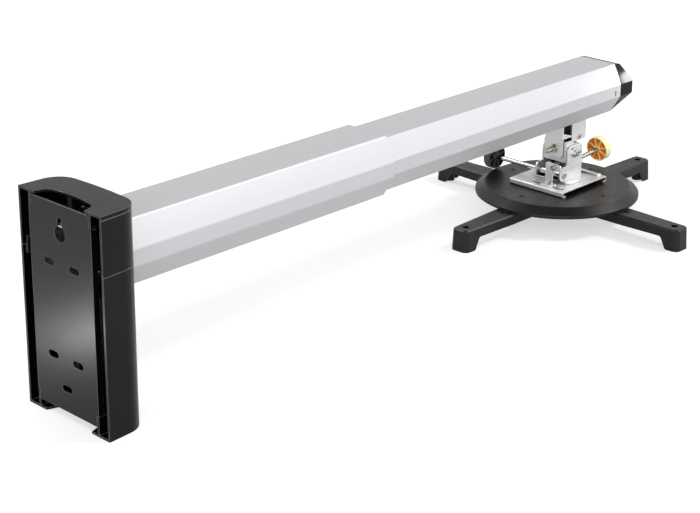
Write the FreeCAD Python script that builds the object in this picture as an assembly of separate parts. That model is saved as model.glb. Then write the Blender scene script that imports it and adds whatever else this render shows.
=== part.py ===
import FreeCAD
import Part
import math
import os

# Telescopic wall boom for a short-throw projector, drawn fully extended.
# X runs from the wall along the boom, Y across it, Z up. Millimetres throughout.
# Heights named *_H are measured above the lower end of the cover, and the
# frame's origin is the centre of the four wall slots, on the wall face.

V = FreeCAD.Vector
X_DIR = V(1, 0, 0)
Y_DIR = V(0, 1, 0)
Z_DIR = V(0, 0, 1)

# Fits and gaps between pieces
RUN = 0.05
SCREW_CLEARANCE = 0.1
SEAT = 0.3
LOOSE = 0.8
THROUGH = 40.0

# Wall plate
PATTERN_H = 160.0
PLATE_T = 2.5
PLATE_HALF_W = 66.5
PLATE_FOOT_H = 14.0
PLATE_TOP_DOWN = 5.5
PLATE_LIP = 7.0
NOTCH_W = 4.2
NOTCH_TALL = 15.5
SLOT_SPACING_Y = 54.0
SLOT_SPACING_Z = 136.0
SLOT_LONG = 22.0
SLOT_WIDE = 10.0
BOTTOM_SLOT_UP = 34.5
KEYHOLE_DOWN = 42.0
KEYHOLE_R = 11.3
KEYHOLE_NECK = 9.6
KEYHOLE_LONG = 23.5

# Cover shells
COVER_OVER_TUBE = 36.0
COVER_BACK_HALF = 88.5
COVER_FRONT_HALF = 84.5
COVER_CORNER_X = 68.5
COVER_NOSE_X = 73.0
COVER_CORNER_R = 34.0
COVER_NOSE_R = 600.0
COVER_WALL = 3.0
SEAM_H = 235.0
SEAM_GAP = 0.6
TOP_NOTCH_HALF = 55.5
FOOT_NOTCH_HALF = 50.5
NOTCH_REACH = 27.5
HOOK_T = 3.6
CAP_LINE_DOWN = 6.5
CAP_LINE_WIDE = 0.8
CAP_LINE_DEEP = 0.6
CLIP_LONG = 10.0
CLIP_TALL = 24.0
CLIP_T = 2.4
CLIP_X = 6.0

# Tubes: one outline, the inner tube being smaller all round
TUBE_TOP_H = 284.0
TUBE_TOP_HALF = 40.6
TUBE_WAIST_HALF = 58.5
TUBE_WAIST_TOP_H = 244.5
TUBE_WAIST_FOOT_H = 220.0
TUBE_FOOT_H = 184.6
TUBE_FOOT_HALF = 36.0
TUBE_SIDE_BULGE = 1.1
TUBE_SIDE_R = 160.0
TUBE_STEP = 5.5
OUTER_WALL = 2.5
INNER_WALL = 2.2
OUTER_END_X = 588.0
TUBE_OVERLAP = 150.0
INNER_END_X = 1190.0
GLIDE_LONG = 26.0
SOCKET_LONG = 40.0
SOCKET_WALL = 3.0
SOCKET_SCREW_X = (16.0, 32.0)

# End cap
CAP_SHOULDER_LONG = 14.0
CAP_SHOULDER_DROP = 2.0
CAP_NOSE_LONG = 36.0
CAP_NOSE_DOWN = 33.5
CAP_NOSE_UP = 32.9
CAP_PLUG = 18.0
CAP_PLUG_WALL = 2.4
CAP_SNAP_IN = 14.0
CAP_SNAP_UP = 10.0
CAP_SNAP_TALL = 9.0
CAP_SNAP_WIDE = 3.2
TOP_HOLE_IN = 11.0
TOP_HOLE_R = 2.2

# Hanger, the folded bracket under the boom
SHEET = 3.0
HANGER_BACK_IN = 52.0
HANGER_LONG = 68.0
HANGER_REAR_IN = 39.5
HANGER_HALF = 19.0
HANGER_DROP = 15.0
EAR_LONG = 41.0
EAR_RISE = 9.0
STRAP_RISE = 10.5
STRAP_TALL = 11.0
STRAP_TIP = 2.0
HANGER_LEDGE = 1.5
HANGER_PIN_IN = 19.0
HANGER_PIN_RISE = 7.0
HANGER_PIN_R = 3.0
HANGER_BOLT_R = 3.0
HANGER_BOLT_Y = 10.0
HANGER_BOLT_INSET = 16.0
HANGER_BOLT_PITCH = 46.0

# Roll bracket, turning about the boom's direction
ROLL_DOWN = 50.1
ROLL_BOLT_R = 4.0
ROLL_BOLT_REACH = 22.0
ROLL_GAP = 1.5
ROLL_HALF = 24.0
ROLL_DROP = 23.0
ROLL_RISE = 7.0
ROLL_FRONT_RISE = 15.0
LUG_R = 8.5
WASHER_R = 8.5
WASHER_T = 1.6

# Turret, the lower fork with its round turntable flange
PITCH_IN = 26.0
PITCH_DOWN = 8.5
PITCH_BOLT_R = 4.0
TURRET_GAP = 1.0
TURRET_BACK = 21.0
TURRET_FRONT = 21.0
TURRET_RISE = 14.5
TURRET_LOBE = 11.5
TURRET_LOBE_RISE = 15.5
FLANGE_R = 44.0
FLANGE_CUT = 23.7
FLANGE_T = 4.0
SWIVEL_BACK = 12.3
SWIVEL_R = 6.0
EAR_HOLE_R = 2.2
EAR_HOLES = ((-8.0, 9.5), (16.5, -1.5))

# Adjusting screws and their thumbwheels
CROSS_BACK = 29.5
CROSS_DOWN = 35.0
CROSS_R = 4.0
CROSS_HEAD_T = 1.0
CROSS_WHEEL_Y = 123.0
PITCH_ROD_R = 4.0
PITCH_ROD_TILT = 4.75
PITCH_WHEEL_REACH = 134.0
YOKE_REACH = 41.6
YOKE_R = 7.0
TRUNNION_LONG = 23.0
TRUNNION_HALF = 7.0
TRUNNION_TALL = 13.0
ROD_TIP = 13.0
ROD_PLAY = 0.5
WHEEL_R = 22.5
WHEEL_DEEP = 15.5
WHEEL_RIM = 2.2
WHEEL_FACE = 2.5
WHEEL_HUB_R = 6.2
WHEEL_SPOKES = 8
WHEEL_SPOKE_TURN = 28.0
WHEEL_SPOKE_T = 1.5
COLLAR_R = 7.0
COLLAR_LONG = 3.5

# Base plate with folded rails, and the swivel lock on it
BASE_TALL = 10.2
BASE_T = 2.5
BASE_BACK = 60.7
BASE_LONG = 128.0
BASE_HALF = 59.0
RAIL_LIP = 9.0
RIDGE_IN = 14.0
RIDGE_WIDE = 10.0
RIDGE_HALF = 50.0
RIDGE_TALL = 2.8
LOCK_SLOT_IN = 14.0
LOCK_SLOT_Y = -15.0
LOCK_SLOT_LONG = 70.0
LOCK_SLOT_WIDE = 5.4
LOCK_Y = -11.7
LOCK_HALF = 7.8
LOCK_T = 2.5
LOCK_TALL = 40.5
LOCK_NECK = 25.0
LOCK_WING_Y = -37.0
LOCK_FOOT_Y = -27.0
LOCK_SCREW_Y = -20.5
LOCK_FACE_IN = 23.0
LOCK_BOLT_Y = -22.3
LOCK_BOLT_UP = 33.0

# Round spider plate
DISC_DOWN = 23.7
DISC_TOP_R = 129.0
DISC_R = 145.0
DISC_SHOULDER = 11.3
DISC_TALL = 16.2
DISC_WALL = 3.5
DISC_RIM_T = 2.5
DISC_RIB_T = 2.5
DISC_RIB_TALL = 14.3
DISC_RIBS = 8
DISC_RING_R = 62.0
DISC_GROOVE = 1.0
DISC_GROOVE_DEEP = 0.5
ARM_SCREW_REACH = 100.0
ARM_BOSS_R = 16.0

# Arms
ARM_COUNT = 4
ARM_NAMES = ("outer", "left", "inner", "right")
ARM_GAP = 0.6
ARM_T = 3.5
ARM_SIDE_T = 3.0
ARM_WEB = 17.5
ARM_TALL = 38.5
ARM_BEVEL = 2.2
ARM_DRAFT = 1.8
ARM_START = 76.0
ARM_END = 268.0
ARM_ROOT_HALF = 20.5
ARM_TIP_HALF = 16.0
ARM_SHOULDER = 150.0
FOOT_LONG = 22.5
FOOT_KNEE = 11.0
ARM_HOLE_REACH = 250.0
ARM_HOLE_R = 3.5
ARM_RECESS_R = 6.4
ARM_RECESS_DEEP = 6.0
ARM_SLEEVE_R = 8.6
ARM_SLOT_IN = 87.0
ARM_SLOT_OUT = 157.0
ARM_SCREW_R = 4.0
ARM_SCREW_HEAD_R = 6.5
ARM_SCREW_HEAD_T = 2.0
ARM_RIBS = (178.0, 206.0)

# Worked out from the sizes above
COVER_TALL = TUBE_TOP_H + COVER_OVER_TUBE
PLATE_TOP_H = COVER_TALL - PLATE_TOP_DOWN
KEYHOLE_H = PLATE_TOP_H - KEYHOLE_DOWN
BOTTOM_SLOT_H = PLATE_FOOT_H + BOTTOM_SLOT_UP
SOCKET_SCREW_H = (TUBE_WAIST_FOOT_H + TUBE_WAIST_TOP_H) / 2
INNER_START_X = OUTER_END_X - TUBE_OVERLAP
INNER_FOOT_H = TUBE_FOOT_H + TUBE_STEP
INNER_TOP_H = TUBE_TOP_H - TUBE_STEP
CAP_SHOULDER_X = INNER_END_X + CAP_SHOULDER_LONG
CAP_NOSE_X = INNER_END_X + CAP_NOSE_LONG
CAP_NOSE_TOP_H = INNER_TOP_H - CAP_NOSE_DOWN
CAP_NOSE_FOOT_H = INNER_FOOT_H + CAP_NOSE_UP
CAP_SNAP_X = INNER_END_X - CAP_SNAP_IN
CAP_SNAP_H = TUBE_WAIST_FOOT_H + CAP_SNAP_UP
TOP_HOLE_X = INNER_END_X - TOP_HOLE_IN
HANGER_BACK_X = INNER_END_X - HANGER_BACK_IN
HANGER_X = HANGER_BACK_X - HANGER_LONG
HANGER_REAR_X = HANGER_X + HANGER_REAR_IN
ROLL_H = INNER_FOOT_H - ROLL_DOWN
HANGER_FOOT_H = ROLL_H - HANGER_DROP
EAR_X = HANGER_BACK_X - EAR_LONG
EAR_FOOT_H = ROLL_H + EAR_RISE
STRAP_FOOT_H = EAR_FOOT_H + STRAP_RISE
HANGER_PIN_X = HANGER_BACK_X - HANGER_PIN_IN
HANGER_PIN_H = EAR_FOOT_H + HANGER_PIN_RISE
ROLL_FOOT_H = ROLL_H - ROLL_DROP
ROLL_TOP_H = ROLL_H + ROLL_RISE
ROLL_FRONT_TOP_H = ROLL_H + ROLL_FRONT_RISE
ROLL_FRONT_X = HANGER_X + SHEET + ROLL_GAP
ROLL_BACK_X = HANGER_REAR_X + SHEET + ROLL_GAP + SHEET
PITCH_X = HANGER_X + PITCH_IN
PITCH_H = ROLL_H - PITCH_DOWN
CROSS_X = PITCH_X - CROSS_BACK
CROSS_H = PITCH_H - CROSS_DOWN
TURRET_IN_Y = ROLL_HALF + TURRET_GAP
TURRET_OUT_Y = TURRET_IN_Y + SHEET
TURRET_BACK_X = PITCH_X + TURRET_BACK
TURRET_FRONT_X = PITCH_X - TURRET_FRONT
TURRET_TOP_H = PITCH_H + TURRET_RISE
TURRET_LOBE_X = CROSS_X - TURRET_LOBE
TURRET_LOBE_H = CROSS_H + TURRET_LOBE_RISE
TILT = math.radians(PITCH_ROD_TILT)
ROD_DIR = V(math.cos(TILT), 0, math.sin(TILT))
SWIVEL_X = PITCH_X - SWIVEL_BACK
DISC_TOP_H = CROSS_H - DISC_DOWN
DISC_SHOULDER_H = DISC_TOP_H - DISC_SHOULDER
DISC_RIM_H = DISC_TOP_H - DISC_TALL
DISC_RIB_H = DISC_TOP_H - DISC_RIB_TALL
BASE_X = SWIVEL_X - BASE_BACK
BASE_TOP_H = DISC_TOP_H + BASE_TALL
RIDGE_X = BASE_X + BASE_LONG - RIDGE_IN
FLANGE_FOOT_H = BASE_TOP_H + SEAT
FLANGE_TOP_H = FLANGE_FOOT_H + FLANGE_T
FLANGE_CUT_X = SWIVEL_X - FLANGE_CUT
LOCK_SLOT_X = BASE_X + LOCK_SLOT_IN
LOCK_FACE_X = BASE_X + LOCK_FACE_IN
LOCK_FOOT_TOP_H = BASE_TOP_H + LOCK_T
LOCK_TOP_H = BASE_TOP_H + LOCK_TALL
LOCK_NECK_H = BASE_TOP_H + LOCK_NECK
LOCK_BOLT_H = BASE_TOP_H + LOCK_BOLT_UP
ARM_TOP_H = DISC_RIM_H - ARM_GAP
ARM_WEB_H = ARM_TOP_H - ARM_WEB
ARM_FOOT_H = ARM_TOP_H - ARM_TALL


def at(x, y, height):
    """Point in the frame from a height above the cover's lower end."""
    return V(x, y, height - PATTERN_H)


def along_x(level):
    return lambda u, v: at(level, u, v)


def along_y(level):
    return lambda u, v: at(u, level, v)


def along_z(height):
    return lambda u, v: at(u, v, height)


def offset_corners(corners, inward):
    """Move every side of a counter-clockwise outline inward by one distance."""
    moved = []
    count = len(corners)
    for i, (u, v, r) in enumerate(corners):
        pu, pv, _ = corners[i - 1]
        nu, nv, _ = corners[(i + 1) % count]
        a = V(u - pu, v - pv, 0).normalize()
        b = V(nu - u, nv - v, 0).normalize()
        na = V(-a.y, a.x, 0)
        nb = V(-b.y, b.x, 0)
        bisector = na + nb
        step = bisector * (2 * inward / (bisector.Length ** 2))
        turn = a.x * b.y - a.y * b.x
        radius = max(r - inward, 0.3) if turn > 0 else r + inward
        moved.append((u + step.x, v + step.y, radius if r else 0))
    return moved


def rounded_face(corners, place):
    """Face inside an outline of (u, v, radius) corners, put in space by place."""
    edges = []
    joints = []
    count = len(corners)
    for i, (u, v, r) in enumerate(corners):
        here = V(u, v, 0)
        back = V(*corners[i - 1][:2], 0) - here
        ahead = V(*corners[(i + 1) % count][:2], 0) - here
        back.normalize()
        ahead.normalize()
        half = back.getAngle(ahead) / 2
        if r == 0 or half > math.pi / 2 - 1e-4:
            joints.append((here, None, here))
            continue
        run = r / math.tan(half)
        middle = (back + ahead).normalize()
        arc_top = here + middle * (r / math.sin(half) - r)
        joints.append((here + back * run, arc_top, here + ahead * run))
    for i, (start, arc_top, end) in enumerate(joints):
        before = joints[i - 1][2]
        if before.distanceToPoint(start) > 1e-6:
            edges.append(Part.makeLine(place(before.x, before.y), place(start.x, start.y)))
        if arc_top is not None:
            arc = Part.Arc(place(start.x, start.y), place(arc_top.x, arc_top.y), place(end.x, end.y))
            edges.append(arc.toShape())
    return Part.Face(Part.Wire(Part.__sortEdges__(edges)))


def prism_x(corners, x0, x1):
    return rounded_face(corners, along_x(x0)).extrude(X_DIR * (x1 - x0))


def prism_y(corners, y0, y1):
    return rounded_face(corners, along_y(y0)).extrude(Y_DIR * (y1 - y0))


def prism_z(corners, h0, h1):
    return rounded_face(corners, along_z(h0)).extrude(Z_DIR * (h1 - h0))


def block(x0, x1, y0, y1, h0, h1):
    return Part.makeBox(x1 - x0, y1 - y0, h1 - h0, at(x0, y0, h0))


def rod(radius, start, direction, length):
    return Part.makeCylinder(radius, length, start, direction)


def ring(outer, inner, start, direction, length):
    return rod(outer, start, direction, length).cut(rod(inner, start, direction, length))


def hexagon(flats, start, direction, length):
    """Hexagonal prism whose corners are eased by the cone of a turned blank."""
    corner = flats / math.sqrt(3)
    points = [V(corner * math.cos(math.radians(60 * i)), corner * math.sin(math.radians(60 * i)), 0)
              for i in range(7)]
    prism = Part.Face(Part.makePolygon(points)).extrude(Z_DIR * length)
    blank = Part.makeCylinder(corner + 0.1, length)
    blank = blank.makeChamfer((corner - flats / 2) * 0.7, [blank.Edges[0]])
    return placed(prism.common(blank), start, direction)


def placed(shape, start, direction):
    """Carry a shape built on +Z at the origin to a start point and direction."""
    turned = shape.copy()
    turned.Placement = FreeCAD.Placement(start, FreeCAD.Rotation(Z_DIR, direction))
    return turned


def fuse(shapes):
    body = shapes[0]
    if len(shapes) > 1:
        body = body.multiFuse(shapes[1:])
    return body.removeSplitter()


def both_sides(shape):
    return [shape, shape.mirror(V(0, 0, 0), Y_DIR)]


def slot_corners(u, v, long, wide):
    r = wide / 2 - 0.001
    return [(u - long / 2, v - wide / 2, r), (u + long / 2, v - wide / 2, r),
            (u + long / 2, v + wide / 2, r), (u - long / 2, v + wide / 2, r)]


def tube_corners(inward=0.0):
    """Ten-sided tube outline in (Y, height), offset inward."""
    mid_y = (TUBE_TOP_HALF + TUBE_WAIST_HALF) / 2
    mid_h = (TUBE_TOP_H + TUBE_WAIST_TOP_H) / 2
    side = V(TUBE_TOP_H - TUBE_WAIST_TOP_H, TUBE_WAIST_HALF - TUBE_TOP_HALF, 0).normalize()
    right = [(TUBE_FOOT_HALF, TUBE_FOOT_H, 6.0),
             (TUBE_WAIST_HALF, TUBE_WAIST_FOOT_H, 8.0),
             (TUBE_WAIST_HALF, TUBE_WAIST_TOP_H, 8.0),
             (mid_y + side.x * TUBE_SIDE_BULGE, mid_h + side.y * TUBE_SIDE_BULGE, TUBE_SIDE_R),
             (TUBE_TOP_HALF, TUBE_TOP_H, 6.0)]
    left = [(-y, h, r) for y, h, r in reversed(right)]
    return offset_corners(right + left, inward)


def tube_between(outer_in, inner_in, x0, x1):
    """Hollow length of tube between two offsets of the outline."""
    solid = prism_x(tube_corners(outer_in), x0, x1)
    return solid.cut(prism_x(tube_corners(inner_in), x0 - 1, x1 + 1))


def make_wall_plate():
    notch_foot = PLATE_FOOT_H + NOTCH_TALL
    notch_top = PLATE_TOP_H - NOTCH_TALL
    neck = PLATE_HALF_W - NOTCH_W
    right = [(neck, PLATE_FOOT_H, 1.0), (neck, notch_foot, 0.5), (PLATE_HALF_W, notch_foot, 1.0),
             (PLATE_HALF_W, notch_top, 1.0), (neck, notch_top, 0.5), (neck, PLATE_TOP_H, 1.0)]
    left = [(-y, h, r) for y, h, r in reversed(right)]
    sheet = prism_x(right + left, 0, PLATE_T)
    lip = block(0, PLATE_T + PLATE_LIP, PLATE_HALF_W - PLATE_T, PLATE_HALF_W, notch_foot + 3, notch_top - 3)
    plate = fuse([sheet] + both_sides(lip))
    plate = plate.cut(prism_x(slot_corners(0, BOTTOM_SLOT_H, SLOT_LONG, SLOT_WIDE), -1, PLATE_T + 1))
    for side in (-1, 1):
        for level in (-1, 1):
            y = side * SLOT_SPACING_Y / 2
            height = PATTERN_H + level * SLOT_SPACING_Z / 2
            plate = plate.cut(prism_x(slot_corners(y, height, SLOT_LONG, SLOT_WIDE), -1, PLATE_T + 1))
    plate = plate.cut(rod(KEYHOLE_R, at(-1, 0, KEYHOLE_H), X_DIR, PLATE_T + 2))
    neck_slot = slot_corners(KEYHOLE_H + KEYHOLE_LONG / 2, 0, KEYHOLE_LONG, KEYHOLE_NECK)
    neck_slot = [(y, h, r) for h, y, r in reversed(neck_slot)]
    return plate.cut(prism_x(neck_slot, -1, PLATE_T + 1))


def socket_screw_places():
    places = []
    for x in SOCKET_SCREW_X:
        for side in (-1, 1):
            start = at(x, side * (TUBE_WAIST_HALF + SOCKET_WALL), SOCKET_SCREW_H)
            places.append((start, V(0, -side, 0)))
    return places


def make_tube_socket():
    collar = tube_between(-SOCKET_WALL, 0, PLATE_T, PLATE_T + SOCKET_LONG)
    for start, direction in socket_screw_places():
        collar = collar.cut(rod(3 + SCREW_CLEARANCE, start - direction, direction, 12))
    return collar


def make_socket_screws():
    screws = []
    for start, direction in socket_screw_places():
        head = hexagon(10, start, -direction, 4)
        screws.append(fuse([head, rod(3, start, direction, SOCKET_WALL + OUTER_WALL + 2)]))
    return Part.makeCompound(screws)


def make_outer_tube():
    tube = tube_between(0, OUTER_WALL, PLATE_T, OUTER_END_X)
    for start, direction in socket_screw_places():
        tube = tube.cut(rod(3 + SCREW_CLEARANCE, start - direction, direction, 12))
    return tube


def cover_corners(inward):
    """Cover outline in (X, Y); the inner one runs out past the wall side."""
    back_x = -1.0 if inward else 0.0
    right = [(back_x, -COVER_BACK_HALF + inward, 0),
             (COVER_CORNER_X - inward, -COVER_FRONT_HALF + inward, COVER_CORNER_R - inward),
             (COVER_NOSE_X - inward, 0, COVER_NOSE_R)]
    left = [(x, -y, r) for x, y, r in reversed(right[:2])]
    return right + left


def notch_corners(half):
    """Cable notch open to the wall, with a shallow curved front."""
    knee = half - 7.5
    return [(-1, -half, 0), (NOTCH_REACH - 7.5, -knee, 12), (NOTCH_REACH, 0, knee * 4),
            (NOTCH_REACH - 7.5, knee, 12), (-1, half, 0)]


def cover_shell(foot_h, top_h, inner_foot_h, inner_top_h):
    shell = prism_z(cover_corners(0), foot_h, top_h)
    shell = shell.cut(prism_z(cover_corners(COVER_WALL), inner_foot_h, inner_top_h))
    return shell.cut(prism_x(tube_corners(-LOOSE), COVER_NOSE_X / 2, COVER_NOSE_X + 1))


def cover_hook(foot_h, top_h):
    """Blade from the cover's front wall that passes through a corner notch of the wall plate."""
    y = PLATE_HALF_W - SEAT - HOOK_T
    return block(0.3, COVER_CORNER_X - COVER_WALL / 2, y, y + HOOK_T, foot_h, top_h)


def make_upper_cover():
    foot = SEAM_H + SEAM_GAP / 2
    shell = cover_shell(foot, COVER_TALL, foot - 1, COVER_TALL - COVER_WALL)
    hook = cover_hook(PLATE_TOP_H - NOTCH_TALL + SEAT, COVER_TALL - COVER_WALL / 2)
    shell = fuse([shell] + both_sides(hook))
    shell = shell.cut(prism_z(notch_corners(TOP_NOTCH_HALF), COVER_TALL - 10, COVER_TALL + 1))
    line_h = COVER_TALL - CAP_LINE_DOWN
    band = prism_z(cover_corners(0), line_h, line_h + CAP_LINE_WIDE)
    core = prism_z(cover_corners(CAP_LINE_DEEP), line_h - 1, line_h + CAP_LINE_WIDE + 1)
    return shell.cut(band.cut(core))


def make_lower_cover():
    top = SEAM_H - SEAM_GAP / 2
    shell = cover_shell(0, top, COVER_WALL, top + 1)
    hook = cover_hook(COVER_WALL / 2, PLATE_FOOT_H + NOTCH_TALL - SEAT)
    inner = COVER_BACK_HALF - COVER_WALL
    taper = (COVER_BACK_HALF - COVER_FRONT_HALF) * (CLIP_X + CLIP_LONG) / COVER_CORNER_X
    clip_out = inner - taper - SEAT
    clip = block(CLIP_X, CLIP_X + CLIP_LONG, clip_out - CLIP_T, clip_out,
                 top - CLIP_TALL / 2, top + CLIP_TALL / 2)
    root = block(CLIP_X, CLIP_X + CLIP_LONG, clip_out - CLIP_T, inner + 1, top - CLIP_TALL / 2, top - 1)
    shell = fuse([shell] + both_sides(hook) + both_sides(fuse([clip, root])))
    return shell.cut(prism_z(notch_corners(FOOT_NOTCH_HALF), -1, 10))


def make_front_glide():
    return tube_between(OUTER_WALL, TUBE_STEP - SEAT, OUTER_END_X - GLIDE_LONG, OUTER_END_X)


def make_rear_glide():
    return tube_between(OUTER_WALL + SEAT, TUBE_STEP, INNER_START_X, INNER_START_X + GLIDE_LONG)


def hanger_bolt_places():
    front = HANGER_X + HANGER_BOLT_INSET
    xs = (front, front + HANGER_BOLT_PITCH)
    return [(x, y) for x in xs for y in (-HANGER_BOLT_Y, HANGER_BOLT_Y)]


def snap_window(grow):
    tall = CAP_SNAP_TALL / 2 + grow
    wide = CAP_SNAP_WIDE / 2 + grow
    reach = TUBE_WAIST_HALF + 1
    return block(CAP_SNAP_X - wide, CAP_SNAP_X + wide, -reach, reach, CAP_SNAP_H - tall, CAP_SNAP_H + tall)


def make_inner_tube():
    tube = tube_between(TUBE_STEP, TUBE_STEP + INNER_WALL, INNER_START_X, INNER_END_X)
    for x, y in hanger_bolt_places():
        start = at(x, y, INNER_FOOT_H - 1)
        tube = tube.cut(rod(HANGER_BOLT_R + SCREW_CLEARANCE, start, Z_DIR, INNER_WALL + 2))
    tube = tube.cut(rod(TOP_HOLE_R, at(TOP_HOLE_X, 0, INNER_TOP_H - INNER_WALL - 1), Z_DIR, INNER_WALL + 2))
    return tube.cut(snap_window(0))


def make_end_cap():
    """Faceted nose cut from the tube's outline, with a hollow plug and two snaps."""
    side_view = [(INNER_END_X, INNER_FOOT_H, 0), (CAP_NOSE_X, CAP_NOSE_FOOT_H, 2),
                 (CAP_NOSE_X, CAP_NOSE_TOP_H, 2), (CAP_SHOULDER_X, INNER_TOP_H - CAP_SHOULDER_DROP, 3),
                 (INNER_END_X, INNER_TOP_H, 0)]
    reach = TUBE_WAIST_HALF + 1
    nose = prism_x(tube_corners(TUBE_STEP), INNER_END_X, CAP_NOSE_X + 1)
    nose = nose.common(prism_y(side_view, -reach, reach))
    plug_in = TUBE_STEP + INNER_WALL + SCREW_CLEARANCE
    plug = tube_between(plug_in, plug_in + CAP_PLUG_WALL, INNER_END_X - CAP_PLUG, INNER_END_X + 0.5)
    snaps = snap_window(-SCREW_CLEARANCE)
    room = prism_x(tube_corners(TUBE_STEP + 0.4), INNER_END_X - CAP_PLUG, INNER_END_X)
    snaps = snaps.common(room).cut(prism_x(tube_corners(plug_in + 1), 0, INNER_END_X))
    return fuse([nose, plug] + snaps.Solids)


def make_hanger_bracket():
    """Folded sheet: top and front plates, two side ears with tapered straps, and a rear plate."""
    top_h = INNER_FOOT_H
    side_foot = [(-HANGER_HALF, HANGER_FOOT_H, 5), (HANGER_HALF, HANGER_FOOT_H, 5),
                 (HANGER_HALF, top_h, 0), (-HANGER_HALF, top_h, 0)]
    front = prism_x(side_foot, HANGER_X, HANGER_X + SHEET)
    rear_half = HANGER_HALF - SHEET + 0.5
    rear_foot = [(-rear_half, ROLL_H - LUG_R, 5), (rear_half, ROLL_H - LUG_R, 5),
                 (rear_half, top_h, 0), (-rear_half, top_h, 0)]
    back = prism_x(rear_foot, HANGER_REAR_X, HANGER_REAR_X + SHEET)
    ledge = HANGER_HALF + HANGER_LEDGE
    top = block(HANGER_X, HANGER_BACK_X, -ledge, ledge, top_h - SHEET, top_h)
    ear_corners = [(EAR_X, EAR_FOOT_H, 7), (HANGER_BACK_X, EAR_FOOT_H, 7), (HANGER_BACK_X, top_h, 0),
                   (EAR_X, top_h, 0), (EAR_X, STRAP_FOOT_H + STRAP_TIP, 0.8),
                   (HANGER_X + 1, STRAP_FOOT_H + STRAP_TALL, 0), (HANGER_X + 1, STRAP_FOOT_H, 0),
                   (EAR_X, STRAP_FOOT_H, 0.8)]
    ear = prism_y(ear_corners, HANGER_HALF - SHEET, HANGER_HALF)
    body = fuse([front, back, top] + both_sides(ear))
    body = body.cut(rod(ROLL_BOLT_R + SCREW_CLEARANCE, at(HANGER_X - 1, 0, ROLL_H), X_DIR, HANGER_LONG + 2))
    pin_start = at(HANGER_PIN_X, -THROUGH, HANGER_PIN_H)
    body = body.cut(rod(HANGER_PIN_R + SCREW_CLEARANCE, pin_start, Y_DIR, 2 * THROUGH))
    for x, y in hanger_bolt_places():
        body = body.cut(rod(HANGER_BOLT_R + SCREW_CLEARANCE, at(x, y, top_h - SHEET - 1), Z_DIR, SHEET + 2))
    return body


def make_hanger_bolts():
    """Hexagon screws from inside the tube, each with its nut under the bracket."""
    bolts = []
    for x, y in hanger_bolt_places():
        floor_h = INNER_FOOT_H + INNER_WALL
        nut_h = INNER_FOOT_H - SHEET
        head = hexagon(10, at(x, y, floor_h), Z_DIR, 4)
        shank = rod(HANGER_BOLT_R, at(x, y, nut_h - 7), Z_DIR, floor_h - nut_h + 7)
        nut = hexagon(10, at(x, y, nut_h), -Z_DIR, 5)
        bolts.append(fuse([head, shank, nut]))
    return Part.makeCompound(bolts)


def make_hanger_pin():
    """Cross pin that ties the two ears, headed over at both ends."""
    head = rod(HANGER_PIN_R + 1.5, at(HANGER_PIN_X, HANGER_HALF, HANGER_PIN_H), Y_DIR, 1.4)
    shank = rod(HANGER_PIN_R, at(HANGER_PIN_X, -HANGER_HALF, HANGER_PIN_H), Y_DIR, 2 * HANGER_HALF)
    return fuse([shank] + both_sides(head))


def make_roll_bracket():
    """Four-sided cradle with two rear lugs for the screw yoke."""
    yoke = at(CROSS_X, 0, CROSS_H) + ROD_DIR * YOKE_REACH
    yoke_h = yoke.z + PATTERN_H
    lug_back = yoke.x + LUG_R
    side_corners = [(ROLL_FRONT_X, ROLL_FOOT_H, 2), (yoke.x - LUG_R, ROLL_FOOT_H, 3),
                    (yoke.x - LUG_R, yoke_h - LUG_R, 8), (lug_back, yoke_h - LUG_R, 8),
                    (lug_back, yoke_h + LUG_R + 2, 4), (ROLL_BACK_X, ROLL_FOOT_H + 3, 0),
                    (ROLL_BACK_X, ROLL_TOP_H, 3), (ROLL_FRONT_X + 26, ROLL_TOP_H, 4),
                    (ROLL_FRONT_X + 18, ROLL_FRONT_TOP_H, 4), (ROLL_FRONT_X, ROLL_FRONT_TOP_H, 0)]
    side = prism_y(side_corners, ROLL_HALF - SHEET, ROLL_HALF)
    front_corners = [(-ROLL_HALF, ROLL_FOOT_H, 0), (ROLL_HALF, ROLL_FOOT_H, 0),
                     (ROLL_HALF, ROLL_FRONT_TOP_H, 4), (-ROLL_HALF, ROLL_FRONT_TOP_H, 4)]
    front = prism_x(front_corners, ROLL_FRONT_X, ROLL_FRONT_X + SHEET)
    crown = ROLL_HALF / 2
    back_corners = [(-ROLL_HALF, ROLL_FOOT_H, 0), (ROLL_HALF, ROLL_FOOT_H, 0), (ROLL_HALF, ROLL_H, 0),
                    (crown, ROLL_TOP_H, 4), (-crown, ROLL_TOP_H, 4), (-ROLL_HALF, ROLL_H, 0)]
    back = prism_x(back_corners, ROLL_BACK_X - SHEET, ROLL_BACK_X)
    body = fuse([front, back] + both_sides(side))
    body = body.cut(rod(ROLL_BOLT_R + RUN, at(ROLL_FRONT_X - 1, 0, ROLL_H), X_DIR, HANGER_LONG))
    body = body.cut(rod(PITCH_BOLT_R + SCREW_CLEARANCE, at(PITCH_X, -THROUGH, PITCH_H), Y_DIR, 2 * THROUGH))
    return body.cut(rod(CROSS_R + RUN, V(yoke.x, -THROUGH, yoke.z), Y_DIR, 2 * THROUGH))


def make_roll_bolts():
    """Front bolt with its long free end, and the short back bolt."""
    front_head = ROLL_FRONT_X + SHEET + SCREW_CLEARANCE
    front = fuse([hexagon(13, at(front_head, 0, ROLL_H), X_DIR, 5),
                  rod(ROLL_BOLT_R, at(HANGER_X - ROLL_BOLT_REACH, 0, ROLL_H), X_DIR,
                      front_head - HANGER_X + ROLL_BOLT_REACH)])
    back = fuse([hexagon(13, at(HANGER_REAR_X, 0, ROLL_H), -X_DIR, 5),
                 rod(ROLL_BOLT_R, at(HANGER_REAR_X, 0, ROLL_H), X_DIR, ROLL_BACK_X - HANGER_REAR_X + 10)])
    return Part.makeCompound([front, back])


def bored_nut(flats, bore, start, direction, length):
    nut = hexagon(flats, start, direction, length)
    return nut.cut(rod(bore, start - direction, direction, length + 2))


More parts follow.
